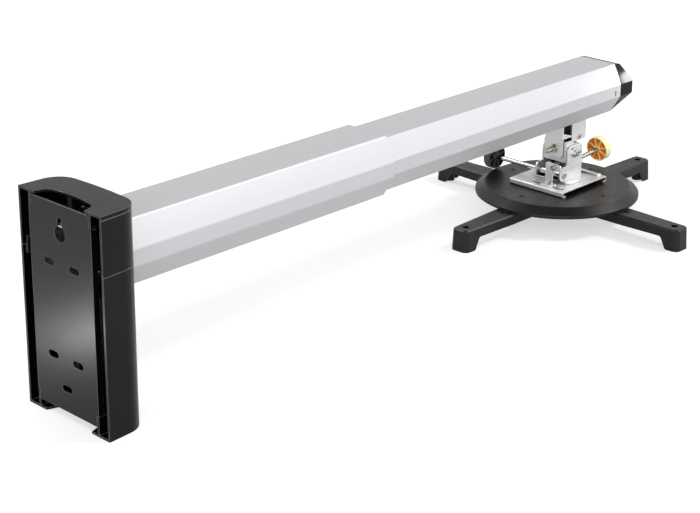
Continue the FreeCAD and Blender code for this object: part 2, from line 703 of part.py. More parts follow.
def make_roll_nuts():
    bore = ROLL_BOLT_R + RUN
    back_x = ROLL_BACK_X + SCREW_CLEARANCE + WASHER_T
    return Part.makeCompound([bored_nut(13, bore, at(HANGER_X - WASHER_T, 0, ROLL_H), -X_DIR, 6.5),
                              bored_nut(13, bore, at(back_x, 0, ROLL_H), X_DIR, 6.5)])


def make_roll_washers():
    gap = ROLL_GAP - SCREW_CLEARANCE
    places = [(HANGER_X, -X_DIR, WASHER_T), (HANGER_X + SHEET, X_DIR, gap),
              (HANGER_REAR_X + SHEET, X_DIR, gap), (ROLL_BACK_X + SCREW_CLEARANCE, X_DIR, WASHER_T)]
    rings = [ring(WASHER_R, ROLL_BOLT_R + RUN, at(x, 0, ROLL_H), direction, thick)
             for x, direction, thick in places]
    return Part.makeCompound(rings)


def make_turret():
    """Round turntable flange with two ears standing on it."""
    flange = rod(FLANGE_R, at(SWIVEL_X, 0, FLANGE_FOOT_H), Z_DIR, FLANGE_T)
    flange = flange.makeChamfer(1.5, [flange.Edges[0]])
    flange_front = SWIVEL_X - FLANGE_R - 1
    flange = flange.cut(block(flange_front, FLANGE_CUT_X, -FLANGE_R, FLANGE_R, 0, FLANGE_TOP_H + 1))
    ear_corners = [(TURRET_LOBE_X + 7, FLANGE_TOP_H - 1, 0), (TURRET_BACK_X, FLANGE_TOP_H - 1, 0),
                   (TURRET_BACK_X, TURRET_TOP_H, 4), (TURRET_FRONT_X, TURRET_TOP_H, 11),
                   (TURRET_FRONT_X, TURRET_LOBE_H, 3), (TURRET_LOBE_X, TURRET_LOBE_H, 10),
                   (TURRET_LOBE_X, FLANGE_TOP_H + 2, 6)]
    ear = prism_y(ear_corners, TURRET_IN_Y, TURRET_OUT_Y)
    body = fuse([flange] + both_sides(ear))
    body = body.cut(rod(PITCH_BOLT_R + RUN, at(PITCH_X, -THROUGH, PITCH_H), Y_DIR, 2 * THROUGH))
    body = body.cut(rod(CROSS_R + RUN, at(CROSS_X, -THROUGH, CROSS_H), Y_DIR, 2 * THROUGH))
    for back, rise in EAR_HOLES:
        body = body.cut(rod(EAR_HOLE_R, at(PITCH_X + back, -THROUGH, PITCH_H + rise), Y_DIR, 2 * THROUGH))
    return body.cut(rod(SWIVEL_R + RUN, at(SWIVEL_X, 0, FLANGE_FOOT_H - 1), Z_DIR, FLANGE_T + 2))


def make_pitch_bolts():
    reach = TURRET_OUT_Y + SCREW_CLEARANCE
    head = hexagon(13, at(PITCH_X, reach, PITCH_H), Y_DIR, 5)
    shank = rod(PITCH_BOLT_R, at(PITCH_X, reach, PITCH_H), -Y_DIR, reach - ROLL_HALF + SHEET + 8)
    return Part.makeCompound(both_sides(fuse([head, shank])))


def make_pitch_nuts():
    nut = bored_nut(13, PITCH_BOLT_R + RUN, at(PITCH_X, ROLL_HALF - SHEET, PITCH_H), -Y_DIR, 6)
    return Part.makeCompound(both_sides(nut))


def make_pitch_washers():
    start = at(PITCH_X, ROLL_HALF, PITCH_H)
    washer = ring(WASHER_R, PITCH_BOLT_R + RUN, start, Y_DIR, TURRET_GAP - SCREW_CLEARANCE)
    return Part.makeCompound(both_sides(washer))


def make_cross_rod():
    """Plain cross rod with a round head outside the left ear and a collar outside the right one."""
    head_y = TURRET_OUT_Y + SCREW_CLEARANCE
    head = rod(CROSS_R + 2, at(CROSS_X, -head_y, CROSS_H), -Y_DIR, CROSS_HEAD_T)
    collar = rod(COLLAR_R, at(CROSS_X, head_y, CROSS_H), Y_DIR, COLLAR_LONG)
    shank = rod(CROSS_R, at(CROSS_X, -head_y, CROSS_H), Y_DIR, head_y + CROSS_WHEEL_Y + 10)
    return fuse([shank, head, collar])


def make_rod_spacers():
    inner = TRUNNION_HALF + SEAT
    spacer = ring(CROSS_R + 2, CROSS_R + RUN, at(CROSS_X, inner, CROSS_H), Y_DIR, TURRET_IN_Y - inner)
    return Part.makeCompound(both_sides(spacer))


def make_trunnion():
    """Block on the cross rod, tapped from behind for the pitch screw."""
    start = at(CROSS_X, 0, CROSS_H)
    tall = TRUNNION_TALL / 2
    corner = V(-tall, -TRUNNION_HALF, -tall)
    body = Part.makeBox(TRUNNION_TALL, 2 * TRUNNION_HALF, TRUNNION_LONG + tall, corner)
    body = body.makeFillet(2.5, [edge for edge in body.Edges if abs(edge.tangentAt(0).y) > 0.9])
    body = placed(body, start, ROD_DIR)
    body = body.cut(rod(PITCH_ROD_R + ROD_PLAY, start + ROD_DIR * 6, ROD_DIR, TRUNNION_LONG))
    return body.cut(rod(CROSS_R + RUN, start - Y_DIR * THROUGH, Y_DIR, 2 * THROUGH))


def make_pitch_rod():
    start = at(CROSS_X, 0, CROSS_H) + ROD_DIR * ROD_TIP
    return rod(PITCH_ROD_R, start, ROD_DIR, PITCH_WHEEL_REACH + 10 - ROD_TIP)


def make_rod_collars():
    centre = at(CROSS_X, 0, CROSS_H) + ROD_DIR * YOKE_REACH
    collars = []
    for direction in (ROD_DIR, -ROD_DIR):
        start = centre + direction * (YOKE_R + SEAT)
        collars.append(ring(COLLAR_R, PITCH_ROD_R, start, direction, COLLAR_LONG))
    return Part.makeCompound(collars)


def make_rod_yoke():
    """Barrel across the cradle that carries the pitch screw and rocks with it."""
    centre = at(CROSS_X, 0, CROSS_H) + ROD_DIR * YOKE_REACH
    half = ROLL_HALF - SHEET - RUN
    barrel = rod(YOKE_R, centre - Y_DIR * half, Y_DIR, 2 * half)
    journal = rod(CROSS_R, centre - Y_DIR * ROLL_HALF, Y_DIR, 2 * ROLL_HALF)
    body = fuse([barrel, journal])
    return body.cut(rod(PITCH_ROD_R + RUN, centre - ROD_DIR * 20, ROD_DIR, 40))


def thumbwheel():
    """Hollow wheel on +Z: spokes seen from the open side at zero, closed face beyond."""
    profile = [(0, WHEEL_DEEP), (WHEEL_R - 1.5, WHEEL_DEEP), (WHEEL_R, WHEEL_DEEP - 1.5),
               (WHEEL_R, 1.2), (WHEEL_R - 1.2, 0), (WHEEL_R - WHEEL_RIM, 0),
               (WHEEL_R - WHEEL_RIM - 0.5, WHEEL_DEEP - WHEEL_FACE), (0, WHEEL_DEEP - WHEEL_FACE)]
    points = [V(r, 0, z) for r, z in profile]
    shell = Part.Face(Part.makePolygon(points + points[:1])).revolve(V(0, 0, 0), Z_DIR, 360)
    hub = Part.makeCylinder(WHEEL_HUB_R, WHEEL_DEEP - 1)
    pieces = [Part.Solid(shell) if shell.ShapeType != "Solid" else shell, hub]
    for i in range(WHEEL_SPOKES):
        spoke = Part.makeBox(WHEEL_R - WHEEL_RIM / 2, WHEEL_SPOKE_T, WHEEL_DEEP - 1.8,
                             V(0, -WHEEL_SPOKE_T / 2, 0.8))
        spoke.rotate(V(0, 0, 0), Z_DIR, 360.0 * i / WHEEL_SPOKES + WHEEL_SPOKE_TURN)
        pieces.append(spoke)
    return fuse(pieces)


def make_cross_wheel():
    wheel = placed(thumbwheel(), at(CROSS_X, CROSS_WHEEL_Y, CROSS_H), Y_DIR)
    return wheel.cut(rod(CROSS_R, at(CROSS_X, 0, CROSS_H), Y_DIR, CROSS_WHEEL_Y + 10))


def make_pitch_wheel():
    start = at(CROSS_X, 0, CROSS_H)
    wheel = placed(thumbwheel(), start + ROD_DIR * PITCH_WHEEL_REACH, ROD_DIR)
    return wheel.cut(rod(PITCH_ROD_R, start, ROD_DIR, PITCH_WHEEL_REACH + 10))


def make_swivel_pivot():
    """Headed pivot that holds the turntable flange down on the base plate."""
    head = rod(SWIVEL_R + 3, at(SWIVEL_X, 0, FLANGE_TOP_H + SCREW_CLEARANCE), Z_DIR, 2.6)
    shank = rod(SWIVEL_R, at(SWIVEL_X, 0, BASE_TOP_H - BASE_T), Z_DIR, FLANGE_TOP_H + 1 - BASE_TOP_H + BASE_T)
    foot = rod(SWIVEL_R + 3, at(SWIVEL_X, 0, BASE_TOP_H - BASE_T), -Z_DIR, 2.4)
    return fuse([shank, head, foot])


def make_base_plate():
    """Sheet with its two long edges folded down and in as C-shaped rails."""
    end = BASE_X + BASE_LONG
    half_profile = [(BASE_X, DISC_TOP_H, 2.5), (BASE_X + RAIL_LIP, DISC_TOP_H, 0),
                    (BASE_X + RAIL_LIP, DISC_TOP_H + BASE_T, 0), (BASE_X + BASE_T, DISC_TOP_H + BASE_T, 0.5),
                    (BASE_X + BASE_T, BASE_TOP_H - BASE_T, 0.5)]
    mirrored = [(BASE_X + end - x, h, r) for x, h, r in reversed(half_profile)]
    top = [(end, BASE_TOP_H, 2.5), (BASE_X, BASE_TOP_H, 2.5)]
    plate = prism_y(half_profile + mirrored + top, -BASE_HALF, BASE_HALF)
    ridge_end = RIDGE_X + RIDGE_WIDE
    ridge = prism_x([(-RIDGE_HALF, BASE_TOP_H - 1, 0), (RIDGE_HALF, BASE_TOP_H - 1, 0),
                     (RIDGE_HALF, BASE_TOP_H + RIDGE_TALL, 2), (-RIDGE_HALF, BASE_TOP_H + RIDGE_TALL, 2)],
                    RIDGE_X, ridge_end)
    plate = fuse([plate, ridge])
    lengthwise = slot_corners(LOCK_SLOT_Y, LOCK_SLOT_X, LOCK_SLOT_LONG, LOCK_SLOT_WIDE)
    slot = [(x, y, r) for y, x, r in reversed(lengthwise)]
    plate = plate.cut(prism_z(slot, BASE_TOP_H - BASE_T - 1, BASE_TOP_H + 1))
    for x, y in base_screw_places():
        plate = plate.cut(rod(2 + SCREW_CLEARANCE, at(x, y, DISC_TOP_H - 1), Z_DIR, BASE_T + 2))
    pivot_start = at(SWIVEL_X, 0, BASE_TOP_H - BASE_T - 1)
    return plate.cut(rod(SWIVEL_R + SCREW_CLEARANCE, pivot_start, Z_DIR, BASE_T + 2))


def base_screw_places():
    inset = BASE_T + (RAIL_LIP - BASE_T) / 2
    xs = (BASE_X + inset, BASE_X + BASE_LONG - inset)
    return [(x, y) for x in xs for y in (-BASE_HALF + 14, BASE_HALF - 14)]


def make_base_screws():
    screws = []
    for x, y in base_screw_places():
        seat_h = DISC_TOP_H + BASE_T
        head = rod(3.2, at(x, y, seat_h), Z_DIR, 2)
        screws.append(fuse([head, rod(2, at(x, y, seat_h), -Z_DIR, BASE_T + DISC_WALL + 4)]))
    return Part.makeCompound(screws)


def make_lock_tab():
    """Upright swivel lock: a foot on the base plate, a neck and a wider wing."""
    left = LOCK_Y - LOCK_HALF
    right = LOCK_Y + LOCK_HALF
    face = [(left, BASE_TOP_H, 0), (right, BASE_TOP_H, 0), (right, LOCK_TOP_H, 5),
            (LOCK_WING_Y, LOCK_TOP_H - 2, 4), (LOCK_WING_Y, LOCK_NECK_H + 2, 4), (left, LOCK_NECK_H, 3)]
    upright = prism_x(face, LOCK_FACE_X - LOCK_T, LOCK_FACE_X)
    foot = block(LOCK_SLOT_X - 7, LOCK_FACE_X, LOCK_FOOT_Y, right, BASE_TOP_H, LOCK_FOOT_TOP_H)
    body = fuse([upright, foot])
    screw_start = at(LOCK_SLOT_X, LOCK_SCREW_Y, BASE_TOP_H - 1)
    body = body.cut(rod(2.5 + SCREW_CLEARANCE, screw_start, Z_DIR, LOCK_T + 2))
    bolt_start = at(LOCK_FACE_X - LOCK_T - 1, LOCK_BOLT_Y, LOCK_BOLT_H)
    return body.cut(rod(3 + SCREW_CLEARANCE, bolt_start, X_DIR, LOCK_T + 2))


def make_lock_screw():
    under_h = BASE_TOP_H - BASE_T
    head = hexagon(8, at(LOCK_SLOT_X, LOCK_SCREW_Y, LOCK_FOOT_TOP_H), Z_DIR, 4.5)
    shank = rod(2.5, at(LOCK_SLOT_X, LOCK_SCREW_Y, under_h - 4.5), Z_DIR, LOCK_FOOT_TOP_H - under_h + 5)
    nut = hexagon(8, at(LOCK_SLOT_X, LOCK_SCREW_Y, under_h), -Z_DIR, 4)
    return fuse([head, shank, nut])


def make_lock_bolt():
    """Short stop bolt through the lock's wing, with its head towards the wall."""
    face = LOCK_FACE_X - LOCK_T
    head = hexagon(10, at(face, LOCK_BOLT_Y, LOCK_BOLT_H), -X_DIR, 4)
    shank = rod(3, at(face, LOCK_BOLT_Y, LOCK_BOLT_H), X_DIR, LOCK_T + 5.5)
    nut = hexagon(10, at(LOCK_FACE_X, LOCK_BOLT_Y, LOCK_BOLT_H), X_DIR, 4)
    return fuse([head, shank, nut])


def revolved(profile, x):
    """Solid of revolution about the upright axis at x from (radius, height) points."""
    points = [at(x + r, 0, h) for r, h in profile]
    face = Part.Face(Part.makePolygon(points + points[:1]))
    return face.revolve(at(x, 0, 0), Z_DIR, 360)


def arm_direction(index):
    return V(math.cos(math.pi / 2 * index), math.sin(math.pi / 2 * index), 0)


def arm_screw_point(index, height):
    return at(SWIVEL_X, 0, height) + arm_direction(index) * ARM_SCREW_REACH


def disc_groove():
    """Shallow seam line across the flat top and down the sloping rim."""
    deep = DISC_GROOVE_DEEP
    profile = [(DISC_RING_R + 6, DISC_TOP_H - deep, 0), (DISC_TOP_R - 0.3, DISC_TOP_H - deep, 0),
               (DISC_R - deep, DISC_SHOULDER_H - deep, 0), (DISC_R + 1, DISC_SHOULDER_H - deep, 0),
               (DISC_R + 1, DISC_TOP_H + 1, 0), (DISC_RING_R + 6, DISC_TOP_H + 1, 0)]
    shifted = [(SWIVEL_X + r, h, c) for r, h, c in profile]
    return prism_y(shifted, -DISC_GROOVE / 2, DISC_GROOVE / 2)


def make_spider_plate():
    """Dished round plate with radial ribs, a ring rib and a boss for each arm."""
    ceiling = DISC_TOP_H - DISC_WALL
    outer = [(0, DISC_TOP_H), (DISC_TOP_R - 1, DISC_TOP_H), (DISC_TOP_R + 1, DISC_TOP_H - 1.0),
             (DISC_R - 0.6, DISC_SHOULDER_H + 0.4), (DISC_R, DISC_SHOULDER_H - 0.6), (DISC_R, DISC_RIM_H)]
    inner = [(DISC_R - DISC_RIM_T, DISC_RIM_H), (DISC_R - DISC_RIM_T, DISC_SHOULDER_H - 2),
             (DISC_TOP_R - 2, ceiling), (0, ceiling)]
    shell = revolved(outer + inner, SWIVEL_X)
    ring_rib = ring(DISC_RING_R, DISC_RING_R - DISC_RIB_T, at(SWIVEL_X, 0, DISC_RIB_H), Z_DIR,
                    ceiling - DISC_RIB_H + 1)
    pieces = [shell, ring_rib, rod(20, at(SWIVEL_X, 0, DISC_RIB_H), Z_DIR, ceiling - DISC_RIB_H + 1)]
    rib_corners = [(0, DISC_RIB_H, 0), (DISC_R - DISC_RIM_T + 0.5, DISC_RIB_H, 0),
                   (DISC_R - DISC_RIM_T + 0.5, DISC_SHOULDER_H - 2, 0), (DISC_TOP_R - 1, ceiling + 1, 0),
                   (0, ceiling + 1, 0)]
    rib = prism_y([(SWIVEL_X + r, h, c) for r, h, c in rib_corners], -DISC_RIB_T / 2, DISC_RIB_T / 2)
    for i in range(DISC_RIBS):
        turned = rib.copy()
        turned.rotate(at(SWIVEL_X, 0, 0), Z_DIR, 360.0 * i / DISC_RIBS)
        pieces.append(turned)
    boss_foot = ARM_TOP_H + SEAT
    for i in range(ARM_COUNT):
        pieces.append(rod(ARM_BOSS_R, arm_screw_point(i, boss_foot), Z_DIR, ceiling - boss_foot + 1))
    for x, y in base_screw_places():
        pieces.append(rod(5, at(x, y, DISC_RIB_H + 4), Z_DIR, ceiling - DISC_RIB_H - 3))
    body = fuse(pieces)
    groove = disc_groove()
    for i in range(ARM_COUNT):
        turned = groove.copy()
        turned.rotate(at(SWIVEL_X, 0, 0), Z_DIR, 90.0 * i)
        body = body.cut(turned)
        body = body.cut(rod(ARM_SCREW_R + RUN, arm_screw_point(i, boss_foot - 1), Z_DIR, 30))
        head_seat = arm_screw_point(i, DISC_TOP_H - ARM_SCREW_HEAD_T - RUN)
        body = body.cut(rod(ARM_SCREW_HEAD_R + SEAT, head_seat, Z_DIR, 9))
    for x, y in base_screw_places():
        body = body.cut(rod(2 + SCREW_CLEARANCE, at(x, y, DISC_TOP_H - DISC_WALL - 5), Z_DIR, DISC_WALL + 6))
    return body


def arm_plan(inward):
    right = [(ARM_START + inward, -ARM_ROOT_HALF + inward, 8 - inward),
             (ARM_SHOULDER, -ARM_ROOT_HALF + inward, 120),
             (ARM_END - inward, -ARM_TIP_HALF + inward, 8 - inward)]
    return right + [(x, -y, r) for x, y, r in reversed(right)]


def arm_side():
    """Side view of an arm: a long web, a rounded knee and a foot."""
    foot_in = ARM_END - FOOT_LONG
    start = ARM_START - ARM_DRAFT - 1
    end = ARM_END + ARM_DRAFT + 1
    return [(start, ARM_WEB_H, 0), (foot_in - FOOT_KNEE, ARM_WEB_H, 6), (foot_in, ARM_FOOT_H, 5),
            (end, ARM_FOOT_H, 0), (end, ARM_TOP_H + 1, 0), (start, ARM_TOP_H + 1, 0)]


def arm_skin():
    """Outside of an arm: sides with moulding draft, and a bevel round the top."""
    levels = ((ARM_FOOT_H, -ARM_DRAFT), (ARM_TOP_H - ARM_BEVEL, 0.0), (ARM_TOP_H, ARM_BEVEL))
    wires = [rounded_face(arm_plan(inward), along_z(height)).OuterWire for height, inward in levels]
    sides = Part.makeLoft(wires[:2], True, True)
    bevel = Part.makeLoft(wires[1:], True, True)
    return fuse([sides, bevel])


def make_arm(index):
    """Channel-shaped arm open below, with a slot, a foot and a screw sleeve."""
    reach = ARM_ROOT_HALF + ARM_DRAFT + 1
    body = arm_skin().common(prism_y(arm_side(), -reach, reach))
    body = body.cut(prism_z(arm_plan(ARM_SIDE_T), ARM_FOOT_H - 2, ARM_TOP_H - ARM_T))
    sleeve = rod(ARM_SLEEVE_R, at(ARM_HOLE_REACH, 0, ARM_FOOT_H), Z_DIR, ARM_TOP_H - ARM_FOOT_H)
    ribs = []
    for reach in ARM_RIBS:
        span = block(reach - 1, reach + 1, -ARM_ROOT_HALF, ARM_ROOT_HALF, ARM_WEB_H + 3, ARM_TOP_H - 1)
        ribs.append(span.common(prism_z(arm_plan(ARM_SIDE_T / 2), ARM_FOOT_H, ARM_TOP_H)))
    body = fuse([body, sleeve] + ribs)
    body = body.cut(rod(ARM_HOLE_R, at(ARM_HOLE_REACH, 0, ARM_FOOT_H - 1), Z_DIR, ARM_TOP_H))
    body = body.cut(rod(ARM_RECESS_R, at(ARM_HOLE_REACH, 0, ARM_TOP_H - ARM_RECESS_DEEP), Z_DIR, ARM_TOP_H))
    middle = (ARM_SLOT_IN + ARM_SLOT_OUT) / 2
    slot = slot_corners(middle, 0, ARM_SLOT_OUT - ARM_SLOT_IN, 2 * (ARM_SCREW_R + SEAT))
    body = body.cut(prism_z(slot, ARM_TOP_H - ARM_T - 1, ARM_TOP_H + 1))
    body.rotate(V(0, 0, 0), Z_DIR, 90.0 * index)
    body.translate(V(SWIVEL_X, 0, 0))
    return body


def make_arm_screw(index):
    """Low-headed clamp screw sunk in the plate, with its nut under the arm's top."""
    seat_h = DISC_TOP_H - ARM_SCREW_HEAD_T
    under_h = ARM_TOP_H - ARM_T - SEAT
    head = rod(ARM_SCREW_HEAD_R, arm_screw_point(index, seat_h), Z_DIR, ARM_SCREW_HEAD_T)
    socket = hexagon(5, arm_screw_point(index, seat_h - 1), Z_DIR, ARM_SCREW_HEAD_T + 2)
    shank = rod(ARM_SCREW_R, arm_screw_point(index, under_h - 7.5), Z_DIR, seat_h - under_h + 7.5)
    nut = hexagon(13, arm_screw_point(index, under_h), -Z_DIR, 6.5)
    return fuse([head, shank, nut]).cut(socket)


def build():
    parts = {
        "wall_plate": make_wall_plate(),
        "tube_socket": make_tube_socket(),
        "socket_screws": make_socket_screws(),
        "upper_cover": make_upper_cover(),
        "lower_cover": make_lower_cover(),
        "outer_tube": make_outer_tube(),
        "front_glide": make_front_glide(),
        "inner_tube": make_inner_tube(),
        "rear_glide": make_rear_glide(),
        "end_cap": make_end_cap(),
        "hanger_bracket": make_hanger_bracket(),
        "hanger_bolts": make_hanger_bolts(),
        "hanger_pin": make_hanger_pin(),
        "roll_bracket": make_roll_bracket(),
        "roll_bolts": make_roll_bolts(),
        "roll_nuts": make_roll_nuts(),
        "roll_washers": make_roll_washers(),
        "turret": make_turret(),
        "pitch_bolts": make_pitch_bolts(),
        "pitch_nuts": make_pitch_nuts(),
        "pitch_washers": make_pitch_washers(),
        "cross_rod": make_cross_rod(),
        "cross_wheel": make_cross_wheel(),
        "rod_spacers": make_rod_spacers(),
        "trunnion": make_trunnion(),
        "pitch_rod": make_pitch_rod(),
        "rod_collars": make_rod_collars(),
        "rod_yoke": make_rod_yoke(),
        "pitch_wheel": make_pitch_wheel(),
        "swivel_pivot": make_swivel_pivot(),
        "base_plate": make_base_plate(),
        "base_screws": make_base_screws(),
        "lock_tab": make_lock_tab(),
        "lock_screw": make_lock_screw(),
        "lock_bolt": make_lock_bolt(),
        "spider_plate": make_spider_plate(),
    }
    for index, name in enumerate(ARM_NAMES):
        parts["arm_" + name] = make_arm(index)
        parts["arm_screw_" + name] = make_arm_screw(index)
    return parts


os.makedirs("parts", exist_ok=True)
for node, shape in build().items():
    shape.exportStep("parts/" + node + ".step")
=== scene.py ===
"""Looks of a telescoping projector wall boom: finishes, threads, thumbwheels, stage and camera."""

import logging
import math
from dataclasses import dataclass
from enum import Enum, IntEnum

import bmesh
import bpy
from mathutils import Matrix, Vector


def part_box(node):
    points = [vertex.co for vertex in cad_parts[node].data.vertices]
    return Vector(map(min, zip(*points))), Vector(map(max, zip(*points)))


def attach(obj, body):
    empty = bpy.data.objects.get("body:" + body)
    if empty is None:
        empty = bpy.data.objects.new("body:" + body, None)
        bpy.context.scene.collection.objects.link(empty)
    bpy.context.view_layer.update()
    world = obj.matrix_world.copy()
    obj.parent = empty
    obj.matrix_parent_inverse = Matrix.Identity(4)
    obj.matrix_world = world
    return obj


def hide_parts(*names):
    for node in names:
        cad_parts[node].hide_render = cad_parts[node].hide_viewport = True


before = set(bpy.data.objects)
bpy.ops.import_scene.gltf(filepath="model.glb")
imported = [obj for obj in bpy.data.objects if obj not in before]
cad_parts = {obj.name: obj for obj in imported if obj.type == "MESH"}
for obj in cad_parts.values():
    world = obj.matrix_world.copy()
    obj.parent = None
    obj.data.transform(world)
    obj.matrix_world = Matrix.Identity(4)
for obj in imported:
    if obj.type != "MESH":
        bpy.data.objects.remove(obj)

LOG = logging.getLogger("boom")
MM = 0.001
FULL_TURN = 2 * math.pi
EAST, NORTH, UP = Vector((1, 0, 0)), Vector((0, 1, 0)), Vector((0, 0, 1))

# What all finishes share: noise detail, the part of the cloud pattern that swings the roughness,
# and how far a normal turns, as a cosine, where the painted edge highlight starts
# to show and where it shows fully
GRAIN_DETAIL = 3.0
CLOUD_DETAIL = 2.0
CLOUD_RANGE = (0.3, 0.7)
EDGE_SAMPLES = 6
EDGE_TURN = (0.985, 0.80)
HOLLOW_SAMPLES = 8
HOLLOW_FADE = 4
COAT_ROUGHNESS = 0.1
# Socket numbers of a colour mix, whose names come several times on the node
MIX_SHARE, MIX_FIRST, MIX_SECOND, MIX_COLOUR = 0, 6, 7, 2

# Thread mesh: points round the rod, rows for each lead, and distances below which points are one
THREAD_POINTS = 25
THREAD_ROWS = 8
THREAD_END = 0.00002
THREAD_MERGE = 0.00001
ON_AXIS = 1e-9


def linear(code: str) -> tuple[float, float, float, float]:
    """Turn an sRGB hex colour into the linear colour that shaders use.

    Args:
        code: Six hex digits with a leading hash.

    Returns:
        Linear red, green, blue and an alpha of one.
    """
    parts = [int(code[i:i + 2], 16) / 255 for i in (1, 3, 5)]
    shade = [c / 12.92 if c <= 0.04045 else ((c + 0.055) / 1.055) ** 2.4 for c in parts]
    return shade[0], shade[1], shade[2], 1.0


def add_node(tree: bpy.types.NodeTree, kind: str, settings: dict | None = None,
             values: dict | None = None, links: dict | None = None) -> bpy.types.Node:
    """Add a node with its settings, socket values and incoming links.

    Args:
        tree: Shader or geometry tree that gets the node.
        kind: The node's type name.
        settings: Attributes of the node itself.
        values: Default values by input name or number.
        links: Output sockets by input name or number.

    Returns:
        The new node.
    """
    node = tree.nodes.new(kind)
    for name, value in (settings or {}).items():
        setattr(node, name, value)
    for key, value in (values or {}).items():
        node.inputs[key].default_value = value
    for key, socket in (links or {}).items():
        tree.links.new(socket, node.inputs[key])
    return node


class Texture(Enum):
    """How a surface was made, as the stretch of its grain along X, Y and Z."""

    EVEN = (1.0, 1.0, 1.0)
    EXTRUDED = (0.02, 1.0, 1.0)
    ROLLED = (1.0, 0.12, 1.0)


@dataclass(frozen=True)
class Finish:
    """One finish: its colour, gloss, grain, painted edge highlights and gap shade. Sizes in millimetres.

    Attributes:
        name: Name of the material.
        colour: Its main colour.
        shade: Colour of its clouds.
        metallic: How far it is bare metal.
        roughness: Its mean roughness.
        texture: How it was made.
        grain: Size of its grain.
        grain_depth: Depth of its grain.
        cloud: Size of its clouds.
        roughness_swing: How far the clouds take the roughness up and down.
        edge: Radius that its edges are eased to.
        specular: Its specular level.
        coat: Weight of the clear layer on it.
        edge_highlight_tone: Colour of the painted highlight on its edges, or nothing.
        hollow: How far a point looks for other surfaces to paint shade in its gaps, or nought for none.
        gap_shade_tone: Colour of the painted shade in its gaps.
        hollow_clear: Share of open air from which on it has its full colour, free of painted shade.
    """

    name: str
    colour: str
    shade: str
    metallic: float
    roughness: float
    texture: Texture
    grain: float
    grain_depth: float
    cloud: float
    roughness_swing: float
    edge: float
    specular: float = 0.5
    coat: float = 0.0
    edge_highlight_tone: str = ""
    hollow: float = 0.0
    gap_shade_tone: str = "#1A1A1A"
    hollow_clear: float = 0.36

    def material(self) -> bpy.types.Material:
        """Build the finish once and hand back the same material afterwards.

        Returns:
            The material of this finish.
        """
        known = bpy.data.materials.get(self.name)
        if known is not None:
            return known
        made = bpy.data.materials.new(self.name)
        made.use_nodes = True
        tree = made.node_tree
        tree.nodes.clear()
        place = add_node(tree, "ShaderNodeTexCoord").outputs["Object"]
        stretch = add_node(tree, "ShaderNodeMapping", values={"Scale": self.texture.value},
                           links={"Vector": place}).outputs["Vector"]
        grain = add_node(tree, "ShaderNodeTexNoise",
                         values={"Scale": 1 / (self.grain * MM), "Detail": GRAIN_DETAIL},
                         links={"Vector": stretch}).outputs["Fac"]
        cloud = add_node(tree, "ShaderNodeTexNoise",
                         values={"Scale": 1 / (self.cloud * MM), "Detail": CLOUD_DETAIL},
                         links={"Vector": stretch}).outputs["Fac"]
        eased = add_node(tree, "ShaderNodeBevel", {"samples": EDGE_SAMPLES},
                         {"Radius": self.edge * MM}).outputs["Normal"]
        colour = self.tone(tree, cloud, eased)
        rough = add_node(tree, "ShaderNodeMapRange",
                         values={"From Min": CLOUD_RANGE[0], "From Max": CLOUD_RANGE[1],
                                 "To Min": self.roughness - self.roughness_swing,
                                 "To Max": self.roughness + self.roughness_swing},
                         links={"Value": cloud}).outputs["Result"]
        bump = add_node(tree, "ShaderNodeBump",
                        values={"Strength": 1.0, "Distance": self.grain_depth * MM},
                        links={"Height": grain, "Normal": eased}).outputs["Normal"]
        shader = add_node(tree, "ShaderNodeBsdfPrincipled",
                          values={"Metallic": self.metallic, "Specular IOR Level": self.specular,
                                  "Coat Weight": self.coat, "Coat Roughness": COAT_ROUGHNESS},
                          links={"Base Color": colour, "Roughness": rough, "Normal": bump,
                                 "Coat Normal": eased})
        add_node(tree, "ShaderNodeOutputMaterial", links={"Surface": shader.outputs["BSDF"]})
        return made

    def tone(self, tree: bpy.types.NodeTree, cloud: bpy.types.NodeSocket,
             eased: bpy.types.NodeSocket) -> bpy.types.NodeSocket:
        """Mix the colour from its clouds, its painted edge highlights and the painted shade in its gaps.

        Args:
            tree: The material's tree.
            cloud: The cloud pattern.
            eased: The normal with eased edges.

        Returns:
            The colour's socket.
        """
        colour = add_node(tree, "ShaderNodeMix", {"data_type": "RGBA"},
                          {MIX_FIRST: linear(self.colour), MIX_SECOND: linear(self.shade)},
                          {MIX_SHARE: cloud}).outputs[MIX_COLOUR]
        # Painted highlight: edges get a lighter colour where the eased normal turns away from the flat one
        if self.edge_highlight_tone:
            flat = add_node(tree, "ShaderNodeNewGeometry").outputs["Normal"]
            turn = add_node(tree, "ShaderNodeVectorMath", {"operation": "DOT_PRODUCT"},
                            links={0: flat, 1: eased}).outputs["Value"]
            highlight_share = add_node(tree, "ShaderNodeMapRange",
                              values={"From Min": EDGE_TURN[0], "From Max": EDGE_TURN[1]},
                              links={"Value": turn}).outputs["Result"]
            colour = add_node(tree, "ShaderNodeMix", {"data_type": "RGBA"},
                              {MIX_SECOND: linear(self.edge_highlight_tone)},
                              {MIX_SHARE: highlight_share, MIX_FIRST: colour}).outputs[MIX_COLOUR]
        # Painted shade: the colour darkens towards the gap tone where a point sees little open air
        if self.hollow:
            open_air = add_node(tree, "ShaderNodeAmbientOcclusion", {"samples": HOLLOW_SAMPLES},
                                {"Distance": self.hollow * MM}).outputs["AO"]
            clear = add_node(tree, "ShaderNodeMapRange", {"interpolation_type": "SMOOTHSTEP"},
                             {"From Min": self.hollow_clear / HOLLOW_FADE, "From Max": self.hollow_clear},
                             {"Value": open_air}).outputs["Result"]
            colour = add_node(tree, "ShaderNodeMix", {"data_type": "RGBA"},
                              {MIX_FIRST: linear(self.gap_shade_tone)},
                              {MIX_SHARE: clear, MIX_SECOND: colour}).outputs[MIX_COLOUR]
        return colour


